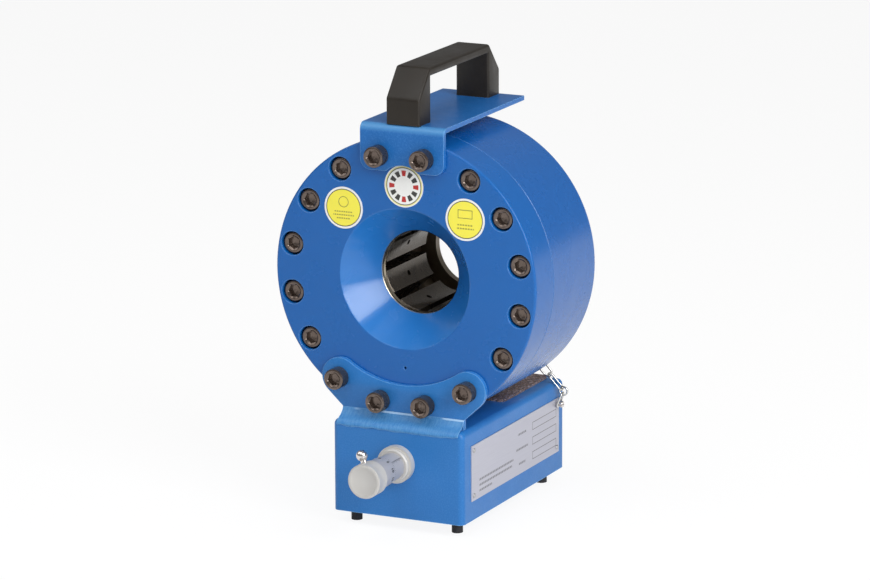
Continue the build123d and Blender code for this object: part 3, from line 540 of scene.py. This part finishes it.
plainNodes = {
    "base_box": sheetPaint, "base_floor": sheetPaint, "piston": pistonSteel, "piston_seal": sealRubber,
    "rod_seal": sealRubber, "wiper_ring": sealRubber, "handle_screws": oxideSteel, "feet": footRubber,
    "foot_nuts": plainSteel, "cradle_pad": matCork, "nameplate_rivets": plainSteel,
    "micrometer_flange": creamAluminium, "micrometer_nut": plainSteel, "spindle": plainSteel,
    "switch_rail": plainSteel, "switch_carriage": plainSteel, "limit_switch": switchPlastic,
    "switch_plunger": plungerPlastic, "follower_arm": plainSteel, "arm_screws": oxideSteel,
    "stop_rod": plainSteel, "port_adapter": zincSteel, "quick_coupling": zincSteel,
    "dust_cap": capRubber, "chain_screw": brightChrome, "tether_chain": chainNickel,
}
for nodeName, finish in plainNodes.items():
    dress(nodeName, finish)
print("nodes dressed")


# carrying handle, moulded in one piece
handle = {
    "halfWidth": 15.4 * mm, "leg": 22.5 * mm, "bar": 7.5 * mm, "shoulder": 24 * mm, "lean": 20 * mm,
    "edge": 2.2 * mm,
}


def handleMesh():
    low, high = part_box("carry_handle")
    rear, front = high.y, low.y
    side = [(front, low.z), (front, high.z - handle["shoulder"]), (front + handle["lean"], high.z),
            (rear - handle["lean"], high.z), (rear, high.z - handle["shoulder"]), (rear, low.z),
            (rear - handle["leg"], low.z), (rear - handle["leg"], high.z - handle["bar"]),
            (front + handle["leg"], high.z - handle["bar"]), (front + handle["leg"], low.z)]
    bm = bmesh.new()
    face = bm.faces.new([bm.verts.new((-handle["halfWidth"], y, z)) for y, z in side])
    moved = bmesh.ops.extrude_face_region(bm, geom=[face])["geom"]
    bmesh.ops.translate(bm, vec=(2 * handle["halfWidth"], 0, 0), verts=vertsOf(moved))
    rounded = [edge for edge in bm.edges if (edge.verts[0].co.z + edge.verts[1].co.z) / 2 > low.z + 0.1 * mm]
    roundEdges(bm, rounded, handle["edge"], 4)
    return newMesh("carryHandleMoulded", bm, handlePlastic, 50)


addPiece("carryHandleMoulded", handleMesh(), "head_and_base", slotOf("carry_handle"), ["carry_handle"])


# micrometer: graduated sleeve, thimble with a knurled knob, numbers round the thimble
micrometer = {
    "height": sum(corner.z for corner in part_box("spindle")) / 2, "boreRadius": 4 * mm, "readAngle": 43.0,
    "sleeveRadius": 11.5 * mm, "thimbleRadius": 12.6 * mm, "wall": 0.8 * mm, "floor": 2 * mm,
    "taper": 2.9 * mm, "knobRadius": 14.6 * mm, "knobDepth": 15.5 * mm, "rim": 12.0 * mm, "dish": 0.7 * mm,
    "boreEnd": 7.5 * mm, "knurls": 120, "knurlDepth": 0.18 * mm, "knurlFrom": 1.6 * mm,
    "divisions": 50, "lineHalf": 0.18 * mm, "sleeveTick": 1.3 * mm, "thimbleTick": 1.6 * mm,
    "numberHeight": 3.0 * mm, "numberBold": 0.14 * mm, "numberStep": 5, "numberThickness": 0.04 * mm,
    "numberPlace": 3.4 * mm, "color": (0.47, 0.465, 0.49), "ink": (0.02, 0.02, 0.022),
}
thimbleLow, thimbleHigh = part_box("thimble")


def turnedPaint(name):
    # the finish, the angle round the micrometer's axis and the place along it
    finish = blastedAluminium(name, micrometer["color"])
    x, y, z = finish.axes(finish.spot((0, 0, micrometer["height"])))
    return finish, x.calc("ARCTAN2", z), y


def sleeveFinish():
    finish, around, along = turnedPaint("sleeveAluminium")
    reach = (around - math.radians(micrometer["readAngle"])) * micrometer["sleeveRadius"]
    step = (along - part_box("micrometer_sleeve")[1].y) / mm
    near = step.toWhole() < micrometer["lineHalf"] / mm
    fifth = (step / 5).toWhole() < 0.1
    length = micrometer["sleeveTick"] + fifth * 1.0 * mm
    ticks = near * (reach > 0) * (reach < length)
    index = reach.size() < micrometer["lineHalf"]
    finish.set("Base Color", finish.mix(ticks.atLeast(index) * 0.9, finish.color, micrometer["ink"]))
    return finish.material


def thimbleFinish():
    finish, around, along = turnedPaint("thimbleAluminium")
    share = around * micrometer["divisions"] / (2 * math.pi)
    pitch = 2 * math.pi * micrometer["thimbleRadius"] / micrometer["divisions"]
    near = share.toWhole() < micrometer["lineHalf"] / pitch
    fifth = (share / 5).toWhole() < 0.06
    reach = thimbleHigh.y - along
    ticks = near * (reach < micrometer["thimbleTick"] + fifth * 1.1 * mm)
    knob = along < thimbleLow.y + micrometer["knobDepth"] + 0.4 * mm
    color = finish.mix(knob, finish.color, cream)
    finish.set("Base Color", finish.mix(ticks * 0.9, color, micrometer["ink"]))
    return finish.material


def thimbleMesh():
    # height 0 at the graduated end, the knob's face furthest out
    length = thimbleHigh.y - thimbleLow.y
    knobEnd = length - micrometer["knobDepth"]
    knob, drum, bore = micrometer["knobRadius"], micrometer["thimbleRadius"], micrometer["boreRadius"]
    inside, rim, dish = drum - micrometer["wall"], micrometer["rim"], length - micrometer["dish"]
    floorAt, boreEnd = knobEnd - micrometer["floor"], length - micrometer["boreEnd"]
    knurl, groove = micrometer["knurlFrom"], 0.3 * mm
    rows = [(knob, length - knurl), (knob, length - knurl - groove), (knob, knobEnd + knurl),
            (knob, knobEnd + knurl - groove)]
    outline = [(0, dish), (rim - 0.9 * mm, dish), (rim, length - 0.1 * mm), (rim + 0.3 * mm, length),
               (knob - 0.9 * mm, length), (knob - 0.25 * mm, length - 0.3 * mm), (knob, length - 1.0 * mm), *rows,
               (knob, knobEnd + 0.6 * mm), (knob - 0.5 * mm, knobEnd), (drum, knobEnd), (drum, micrometer["taper"]),
               (drum - 0.4 * mm, 0), (inside, 0), (inside, floorAt), (bore, floorAt), (bore, boreEnd), (0, boreEnd)]
    bm = bmesh.new()
    spunProfile(bm, outline, micrometer["knurls"])
    for vert in bm.verts:
        onKnurl = knobEnd + knurl - groove / 2 < vert.co.z < length - knurl - groove / 2
        if onKnurl and vert.co.xy.length > knob - 0.01 * mm:
            column = round(math.atan2(vert.co.y, vert.co.x) / (2 * math.pi) * micrometer["knurls"])
            if column % 2:
                vert.co.xy *= 1 - micrometer["knurlDepth"] / knob
    placed(bm, Matrix.Translation((0, thimbleHigh.y, micrometer["height"])) @ toFront)
    return newMesh("thimbleTurned", bm, thimbleFinish(), 35)


def numberMesh():
    parts = []
    radius = micrometer["thimbleRadius"]
    for number in range(0, micrometer["divisions"], micrometer["numberStep"]):
        text = bpy.data.curves.new("number", "FONT")
        text.body = str(number)
        text.size = micrometer["numberHeight"] / 0.7
        text.align_x = "CENTER"
        text.offset = micrometer["numberBold"]
        text.extrude = micrometer["numberThickness"]
        text.resolution_u = 3
        holder = bpy.data.objects.new("number", text)
        flat = bpy.data.meshes.new_from_object(holder)
        bm = bmesh.new()
        bm.from_mesh(flat)
        bmesh.ops.remove_doubles(bm, verts=bm.verts, dist=0.002 * mm)
        bmesh.ops.bisect_plane(bm, geom=bm.verts[:] + bm.edges[:] + bm.faces[:], plane_co=(0, 0, 0),
                               plane_no=(1, 0, 0))
        angle = 2 * math.pi * number / micrometer["divisions"]
        for vert in bm.verts:  # wrapped round the thimble, read from the knob's side
            turn = angle + vert.co.x / radius
            out = radius + 0.02 * mm + vert.co.z
            along = thimbleHigh.y - micrometer["numberPlace"] - micrometer["numberHeight"] + vert.co.y
            vert.co = (out * math.sin(turn), along, micrometer["height"] + out * math.cos(turn))
        bpy.data.objects.remove(holder)
        bpy.data.curves.remove(text)
        bpy.data.meshes.remove(flat)
        parts.append(bm)
    return newMesh("thimbleNumbers", joined(parts), numberInk, 30)


numberInk = softRubber("numberInk", (0.012, 0.012, 0.013), 0.5)
dress("micrometer_sleeve", sleeveFinish())
addPiece("thimbleTurned", thimbleMesh(), "thimble", slotOf("thimble"), ["thimble"])
addPiece("thimbleNumbers", numberMesh(), "thimble", slotOf("thimble"))
print("handle and micrometer made")


# clamping screw of the thimble, with a ball head
lockKnob = {"stem": 1.9 * mm, "neck": 2.8 * mm, "steps": 18, "around": 40}


def lockMesh():
    # turned round Z, then leant about the thimble's axis
    low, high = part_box("lock_screw")
    ball = (high.y - low.y) / 2
    across = Vector((low.x + ball, 0, high.z - ball - micrometer["height"]))
    away = across.length
    start = away - (high.z - low.z) + ball
    outline = [(0, start), (lockKnob["stem"], start), (lockKnob["stem"], away - 1.3 * ball),
               (lockKnob["neck"], away - 1.25 * ball), (lockKnob["neck"], away - 0.85 * ball)]
    first = math.asin(lockKnob["neck"] / ball)
    for step in range(lockKnob["steps"]):
        turn = first + (math.pi - first) * step / lockKnob["steps"]
        outline.append((ball * math.sin(turn), away - ball * math.cos(turn)))
    outline.append((0, away + ball))
    bm = bmesh.new()
    spunProfile(bm, outline, lockKnob["around"])
    lean = Matrix.Rotation(math.atan2(across.x, across.z), 4, "Y")
    placed(bm, Matrix.Translation((0, (low.y + high.y) / 2, micrometer["height"])) @ lean)
    return newMesh("lockScrewTurned", bm, brightChrome, 50)


addPiece("lockScrewTurned", lockMesh(), bodyOf("lock_screw"), slotOf("lock_screw"), ["lock_screw"])
print("lock screw made")


# coil springs between the dies, each made as two halves that ride on their own dies
dieSpring = {
    "radius": 2.45 * mm, "wire": 0.5 * mm, "half": 9.95 * mm, "pitch": 4.85 * mm, "stepsPerTurn": 14,
    "sides": 8, "frontReach": 54 * mm, "rearReach": 45 * mm, "inset": 3 * mm,
}


def coilHalf():
    # a half spring that starts on the X axis and rises from height 0
    bm = bmesh.new()
    turns = dieSpring["half"] / dieSpring["pitch"]
    steps = round(dieSpring["stepsPerTurn"] * turns)
    bmesh.ops.create_circle(bm, cap_ends=True, segments=dieSpring["sides"], radius=dieSpring["wire"])
    placed(bm, Matrix.Translation((dieSpring["radius"], 0, 0)) @ Matrix.Rotation(math.radians(90), 4, "X"))
    bmesh.ops.spin(bm, geom=bm.verts[:] + bm.edges[:] + bm.faces[:], cent=(0, 0, 0), axis=(0, 0, 1),
                   angle=2 * math.pi * turns, steps=steps, dvec=(0, 0, dieSpring["half"] / steps))
    return bm


springLow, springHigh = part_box("die_springs")
springPlaces = [(dieSpring["frontReach"], springLow.y + dieSpring["inset"]),
                (dieSpring["rearReach"], springHigh.y - dieSpring["inset"])]
dieStep = 360 / dieCount
for n in range(dieCount):
    halves = []
    for gap, side in ((dieStep * n, 1), (dieStep * (n + 1), -1)):
        turn = math.radians(gap)
        outwards = Vector((math.sin(turn), 0, math.cos(turn)))
        along = side * Vector((math.cos(turn), 0, -math.sin(turn)))
        frameOf = Matrix((outwards, along.cross(outwards), along)).transposed().to_4x4()
        for reach, depth in springPlaces:
            half = coilHalf()
            centre = outwards * reach + Vector((0, depth, head["axisHeight"]))
            placed(half, Matrix.Translation(centre) @ frameOf)
            halves.append(half)
    mesh = newMesh(f"dieSprings_{n + 1}", joined(halves), springSteel, 60)
    addPiece(f"dieSprings_{n + 1}", mesh, f"master_die_{n + 1}", slotOf("die_springs"),
             ["die_springs"] if n == 0 else [])
print("springs made")


# base bracket, its upper edge drawn round the head between the two ears
bracket = {
    "earAngle": 33.75, "ear": 16.5 * mm, "foot": 56 * mm, "bend": 98.6 * mm, "steps": 40, "edge": 0.5 * mm,
}


def bracketMesh():
    low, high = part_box("base_bracket")
    centre = Vector((0, head["axisHeight"]))
    lean = math.radians(bracket["earAngle"])
    toEar = Vector((math.sin(lean), -math.cos(lean)))
    ear = centre + toEar * screws["circle"]
    foot = Vector((bracket["foot"], bracket["bend"]))
    toFoot = foot - ear
    # the flank leaves the foot's corner and touches the ear's circle
    tangent = math.atan2(toFoot.y, toFoot.x) + math.acos(bracket["ear"] / toFoot.length)
    inner = math.atan2(-toEar.y, -toEar.x)
    half = [Vector((bracket["foot"], low.z)), foot]
    for step in range(bracket["steps"] + 1):
        turn = tangent + (inner - tangent) * step / bracket["steps"]
        half.append(ear + bracket["ear"] * Vector((math.cos(turn), math.sin(turn))))
    reach = screws["circle"] - bracket["ear"]
    for step in range(1, bracket["steps"] + 1):
        turn = lean * (1 - step / bracket["steps"])
        half.append(centre + reach * Vector((math.sin(turn), -math.cos(turn))))
    outline = half + [Vector((-spot.x, spot.y)) for spot in reversed(half[:-1])]
    bm = bmesh.new()
    face = bm.faces.new([bm.verts.new((spot.x, head["face"], spot.y)) for spot in outline])
    moved = bmesh.ops.extrude_face_region(bm, geom=[face])["geom"]
    front = next(item for item in moved if isinstance(item, bmesh.types.BMFace))
    bmesh.ops.translate(bm, vec=(0, -screws["sheet"], 0), verts=vertsOf(moved))
    rim = [edge for edge in front.edges if edge.verts[0].co.z + edge.verts[1].co.z > 2 * low.z + 1 * mm]
    roundEdges(bm, rim, bracket["edge"], 2)
    return newMesh("baseBracketCut", bm, sheetPaint, 40)


addPiece("baseBracketCut", bracketMesh(), "head_and_base", slotOf("base_bracket"), ["base_bracket"])
print("base bracket made")


# weld and filler between the base bracket and the base box
weld = {
    "pale": (0.13, 0.37, 0.67), "glint": (0.45, 0.68, 0.95), "line": 97.7 * mm, "halfLength": 56.2 * mm,
    "columns": 160, "rows": 14, "bump": 0.22 * mm, "wander": 2.4 * mm, "thickness": 0.5 * mm,
    "relief": 0.12 * mm, "alongScale": 320, "acrossScale": 420, "ragged": 0.6,
    "path": [(-59.2, 99.0), (-60.0, 97.2), (-61.4, 95.2), (-63.2, 93.4), (-65.3, 92.1), (-67.6, 91.1),
             (-69.6, 89.8), (-70.9, 88.2), (-71.25, 86.9), (-70.9, 86.0)],  # depth and height, from the top down
}


def weldFinish():
    # sandy and paler than the sheet, with a broken glint along the bend
    finish = bluePaint("weldPaint", 1.0, 1.0, 0.42)
    sand = finish.noise(1500, 3, 0.7)
    streaks = finish.noise(1, 3, 0.6, finish.spot(stretch=(900, 120, 120)))
    color = finish.mix(finish.level(sand + streaks, 0.7, 1.3, 0.05, 0.85), finish.color, weld["pale"])
    z = finish.axes(finish.spot())[2]
    glint = finish.level(finish.noise(45, 2), 0.42, 0.55, 0.0, 0.9) * (z > weld["line"])
    finish.set("Base Color", finish.mix(glint, color, weld["glint"]))
    finish.bump(sand + streaks, 0.6, weld["relief"])
    return finish.material


def weldMesh():
    bm = bmesh.new()
    bmesh.ops.create_grid(bm, x_segments=weld["columns"], y_segments=weld["rows"], size=1)
    path = [Vector((0, y * mm, z * mm)) for y, z in weld["path"]]
    for vert in bm.verts:
        across = vert.co.x * weld["halfLength"]
        part = (vert.co.y + 1) / 2 * (len(path) - 1)
        step = min(int(part), len(path) - 2)
        spot = path[step].lerp(path[step + 1], part - step)
        slope = (path[step + 1] - path[step]).normalized()
        outwards = Vector((0, slope.z, -slope.y))
        place = Vector((across * weld["alongScale"], spot.y * weld["acrossScale"], spot.z * weld["acrossScale"]))
        rough = noise.noise(place) + 0.5 * noise.noise(2.3 * place)
        low = max(0.0, part / (len(path) - 1) - weld["ragged"]) / (1 - weld["ragged"])
        spot += outwards * weld["bump"] * rough * (1 - low * 0.7)
        spot += slope * weld["wander"] * low * noise.noise(place * 0.35)
        vert.co = (across, spot.y, spot.z)
    bmesh.ops.recalc_face_normals(bm, faces=bm.faces)
    bmesh.ops.solidify(bm, geom=bm.faces[:], thickness=weld["thickness"])
    return newMesh("weldSeam", bm, weldFinish(), 60)


addPiece("weldSeam", weldMesh(), "head_and_base", slotOf("base_bracket"))
print("weld made")


# labels with plain marks, drawn in their finish
label = {
    "reach": 79.2 * mm, "rim": 15.7 * mm, "line": 0.36 * mm, "thin": 0.3 * mm, "white": (0.90, 0.90, 0.88),
    "ink": (0.03, 0.03, 0.03), "dust": (0.6, 0.58, 0.5), "yellow": (0.96, 0.87, 0.085),
    "paleYellow": (0.85, 0.80, 0.35), "red": (0.50, 0.02, 0.02), "dashShare": 0.72,
}


def labelFinish(name, angle, field):
    # white rim, thin dark ring and a plain field
    finish = Finish(name + "Film", field, 0.3, Specular_IOR_Level=0.35)
    finish.x, y, finish.z = finish.axes(finish.spot(onHead(angle, label["reach"])))
    finish.reach = finish.x.across(finish.z)
    color = finish.mix(finish.reach > label["rim"], field, label["white"])
    finish.color = finish.mix((finish.reach - label["rim"]).size() < label["line"], color, label["ink"])
    return finish


def finishLabel(finish, nodeName):
    grain = finish.noise(700, 3)
    finish.set("Base Color", finish.mix(finish.level(grain, 0.4, 0.8, 0.0, 0.10), finish.color, label["dust"]))
    finish.set("Roughness", finish.level(grain, 0.3, 0.7, 0.26, 0.38))
    finish.bump(grain, 0.1, 0.02 * mm)
    dress(nodeName, finish.material)


def dashes(rows, halfHeight, pitch, x, z):
    # rows of short dashes: (height, centre, half length)
    marks = 0
    share = (x / pitch).calc("FRACT")
    for height, centre, half in rows:
        row = ((z - height).size() < halfHeight) * ((x - centre).size() < half)
        marks = row + marks
    return marks * (share < label["dashShare"])


def marked(finish, mask, strength=0.8, ink=label["ink"]):
    finish.color = finish.mix(mask * strength, finish.color, ink)


leftLabel = labelFinish("leftLabel", -45, label["yellow"])
leftMarks = {
    "ringHeight": 5 * mm, "ringRadius": 4.4 * mm, "halfHeight": 0.55 * mm, "pitch": 2.1 * mm,
    "rows": [(-3.4 * mm, 0, 8.4 * mm), (-6.2 * mm, 0, 9.6 * mm), (-9.0 * mm, 0, 6.3 * mm)],
}
ringReach = leftLabel.x.across(leftLabel.z - leftMarks["ringHeight"])
marked(leftLabel, (ringReach - leftMarks["ringRadius"]).size() < label["thin"])
marked(leftLabel, dashes(leftMarks["rows"], leftMarks["halfHeight"], leftMarks["pitch"], leftLabel.x,
                         leftLabel.z), 0.65)
finishLabel(leftLabel, "label_left")

rightLabel = labelFinish("rightLabel", 45, label["yellow"])
rightMarks = {
    "frameHeight": 4.6 * mm, "frameHalf": 3.4 * mm, "frameLonger": 3 * mm, "halfHeight": 0.6 * mm,
    "pitch": 2.4 * mm, "rows": [(-4.6 * mm, 0, 7.0 * mm), (-7.6 * mm, 0, 8.0 * mm)],
}
fromFrame = (rightLabel.x.size() - rightMarks["frameLonger"]).atLeast(
    (rightLabel.z - rightMarks["frameHeight"]).size()) - rightMarks["frameHalf"]
marked(rightLabel, fromFrame.size() < label["thin"])
marked(rightLabel, dashes(rightMarks["rows"], rightMarks["halfHeight"], rightMarks["pitch"], rightLabel.x,
                          rightLabel.z), 0.65)
finishLabel(rightLabel, "label_right")

topLabel = labelFinish("topLabel", 0, label["white"])
topRing = {
    "inner": 8.6 * mm, "outer": 13.4 * mm, "blocks": 12, "fill": 0.31, "yellowReach": 16.5 * mm,
    "yellowLine": 0.5 * mm,
}
share = topLabel.x.calc("ARCTAN2", topLabel.z) * topRing["blocks"] / (2 * math.pi)
inRing = (topLabel.reach > topRing["inner"]) * (topLabel.reach < topRing["outer"])
block = (share.toWhole() < topRing["fill"]) * inRing
third = (share / 3).toWhole() < 0.15
marked(topLabel, block, 1.0)
marked(topLabel, block * third, 1.0, label["red"])
marked(topLabel, (topLabel.reach - topRing["yellowReach"]).size() < topRing["yellowLine"], 1.0, label["paleYellow"])
finishLabel(topLabel, "label_top")


plate = {
    "boxMiddle": 30.5 * mm, "boxHalf": 24.4 * mm, "boxTops": (9 * mm, 22 * mm, 35 * mm), "boxHeight": 6.4 * mm,
    "line": 0.3 * mm, "dashHalf": 0.95 * mm, "dashPitch": 3.1 * mm, "captionDrop": 4 * mm,
    "captionMiddle": 76 * mm, "captionHalves": (8.5 * mm, 12 * mm, 6.5 * mm),
    "rows": [(32.4 * mm, 128 * mm, 34 * mm), (37.1 * mm, 129.5 * mm, 32.5 * mm), (41.8 * mm, 149.5 * mm, 12.5 * mm)],
    "color": (0.53, 0.53, 0.60), "shade": (0.46, 0.46, 0.53), "ink": (0.14, 0.14, 0.16),
}


def plateFinish():
    # empty ruled boxes at the rear end, rows of plain dashes before them and at the lower front
    finish = Finish("nameplateFilm", plate["color"], 0.38, 0.2)
    x, y, z = finish.axes(finish.spot(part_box("nameplate")[1]))
    rear, down = 0 - y, 0 - z
    lines = 0
    for top in plate["boxTops"]:
        acrossBox = (rear - plate["boxMiddle"]).size() - plate["boxHalf"]
        downBox = (down - top - plate["boxHeight"] / 2).size() - plate["boxHeight"] / 2
        lines = (acrossBox.atLeast(downBox).size() < plate["line"]) + lines
    captions = [(top + plate["captionDrop"], plate["captionMiddle"], half)
                for top, half in zip(plate["boxTops"], plate["captionHalves"])]
    words = dashes(captions + plate["rows"], plate["dashHalf"], plate["dashPitch"], rear, down)
    brushed = finish.noise(1, 2, 0.6, finish.spot(stretch=(30, 30, 1600)))
    color = finish.mix(finish.level(brushed, 0.3, 0.7, 0.0, 0.3), plate["color"], plate["shade"])
    color = finish.mix(words * 0.85, color, plate["ink"])
    finish.set("Base Color", finish.mix((lines > 0.5) * 0.95, color, plate["ink"]))
    finish.set("Roughness", finish.level(brushed, 0.3, 0.7, 0.32, 0.45))
    finish.bump(brushed, 0.1, 0.01 * mm)
    return finish.material


nodes["nameplate"].data.materials.clear()
nodes["nameplate"].data.materials.append(plateFinish())
print("labels and plate made")


view = {
    "target": Vector((-0.831 * mm, 4.5 * mm, 190.806 * mm)), "azimuth": 25.737, "elevation": 13.502,
    "roll": -0.248, "distance": 4.001, "lens": 196.35, "sensor": 36, "farthest": 50,
}
azimuth, elevation = math.radians(view["azimuth"]), math.radians(view["elevation"])
outward = Vector((math.sin(azimuth) * math.cos(elevation), -math.cos(azimuth) * math.cos(elevation),
                  math.sin(elevation)))
camera = bpy.data.objects.new("camera", bpy.data.cameras.new("camera"))
bpy.context.scene.collection.objects.link(camera)
camera.location = view["target"] + outward * view["distance"]
camera.rotation_mode = "QUATERNION"
aim = outward.to_track_quat("Z", "Y")
camera.rotation_quaternion = aim @ Matrix.Rotation(math.radians(view["roll"]), 3, "Z").to_quaternion()
camera.data.lens = view["lens"]
camera.data.sensor_width = view["sensor"]
camera.data.clip_end = view["farthest"]
bpy.context.scene.camera = camera
bpy.context.scene.view_settings.view_transform = "Standard"


studio = {
    "aimHeight": 0.2, "ambient": 0.16, "mirrored": 0.1, "floorSize": 15, "floorColor": (0.88, 0.88, 0.88),
    "floorShare": 0.86, "glow": 1.05,
}


def areaLamp(name, turn, rise, distance, size, power):
    # turn runs from the front towards the object's right side as the viewer sees it
    turn, rise = math.radians(turn), math.radians(rise)
    away = distance * Vector((math.cos(rise) * math.sin(turn), -math.cos(rise) * math.cos(turn), math.sin(rise)))
    lamp = bpy.data.lights.new(name, "AREA")
    lamp.shape = "RECTANGLE"
    lamp.size, lamp.size_y = size
    lamp.energy = power
    holder = bpy.data.objects.new(name, lamp)
    bpy.context.scene.collection.objects.link(holder)
    holder.location = away + Vector((0, 0, studio["aimHeight"]))
    holder.rotation_mode = "QUATERNION"
    holder.rotation_quaternion = away.to_track_quat("Z", "Y")


areaLamp("sideBox", 62, 27, 1.8, (1.03, 1.35), 26)
areaLamp("topBox", -5, 55, 2.3, (1.6, 1.6), 17)
areaLamp("leftBox", -70, 40, 2.3, (1.4, 1.4), 9)
areaLamp("rearBox", 170, 58, 2.3, (1.6, 1.4), 5)


def seenBy(finish, *rays):
    # 1 for any of the kinds of ray
    found = [finish.node("ShaderNodeLightPath", output=f"Is {ray} Ray") for ray in rays]
    seen = found[0]
    for other in found[1:]:
        seen = seen.atLeast(other)
    return seen


world = bpy.data.worlds.new("studio")
bpy.context.scene.world = world
world.use_nodes = True
sky = Nodes(world.node_tree, "Background")
seenPlain = seenBy(sky, "Camera", "Transmission") * (1 - studio["ambient"])
sky.set("Color", (1, 1, 1, 1))
sky.set("Strength", studio["ambient"] + seenPlain + seenBy(sky, "Glossy") * studio["mirrored"])

floorMesh = bmesh.new()
bmesh.ops.create_grid(floorMesh, x_segments=1, y_segments=1, size=studio["floorSize"])
floorData = bpy.data.meshes.new("floor")
floorMesh.to_mesh(floorData)
floorMesh.free()
floor = bpy.data.objects.new("floor", floorData)
bpy.context.scene.collection.objects.link(floor)
floorFinish = Finish("floorWhite", studio["floorColor"], 0.7)
isSeen = seenBy(floorFinish, "Camera", "Glossy", "Transmission")
glow = floorFinish.node("ShaderNodeEmission", None, {"Color": (1, 1, 1, 1), "Strength": studio["glow"]})
both = floorFinish.node("ShaderNodeMixShader", None, {
    0: isSeen * studio["floorShare"], 1: Signal(floorFinish, floorFinish.shader.outputs[0]), 2: glow})
floorFinish.tree.links.new(both.socket, floorFinish.tree.nodes["Material Output"].inputs["Surface"])
floorData.materials.append(floorFinish.material)
print("camera, light and floor made")
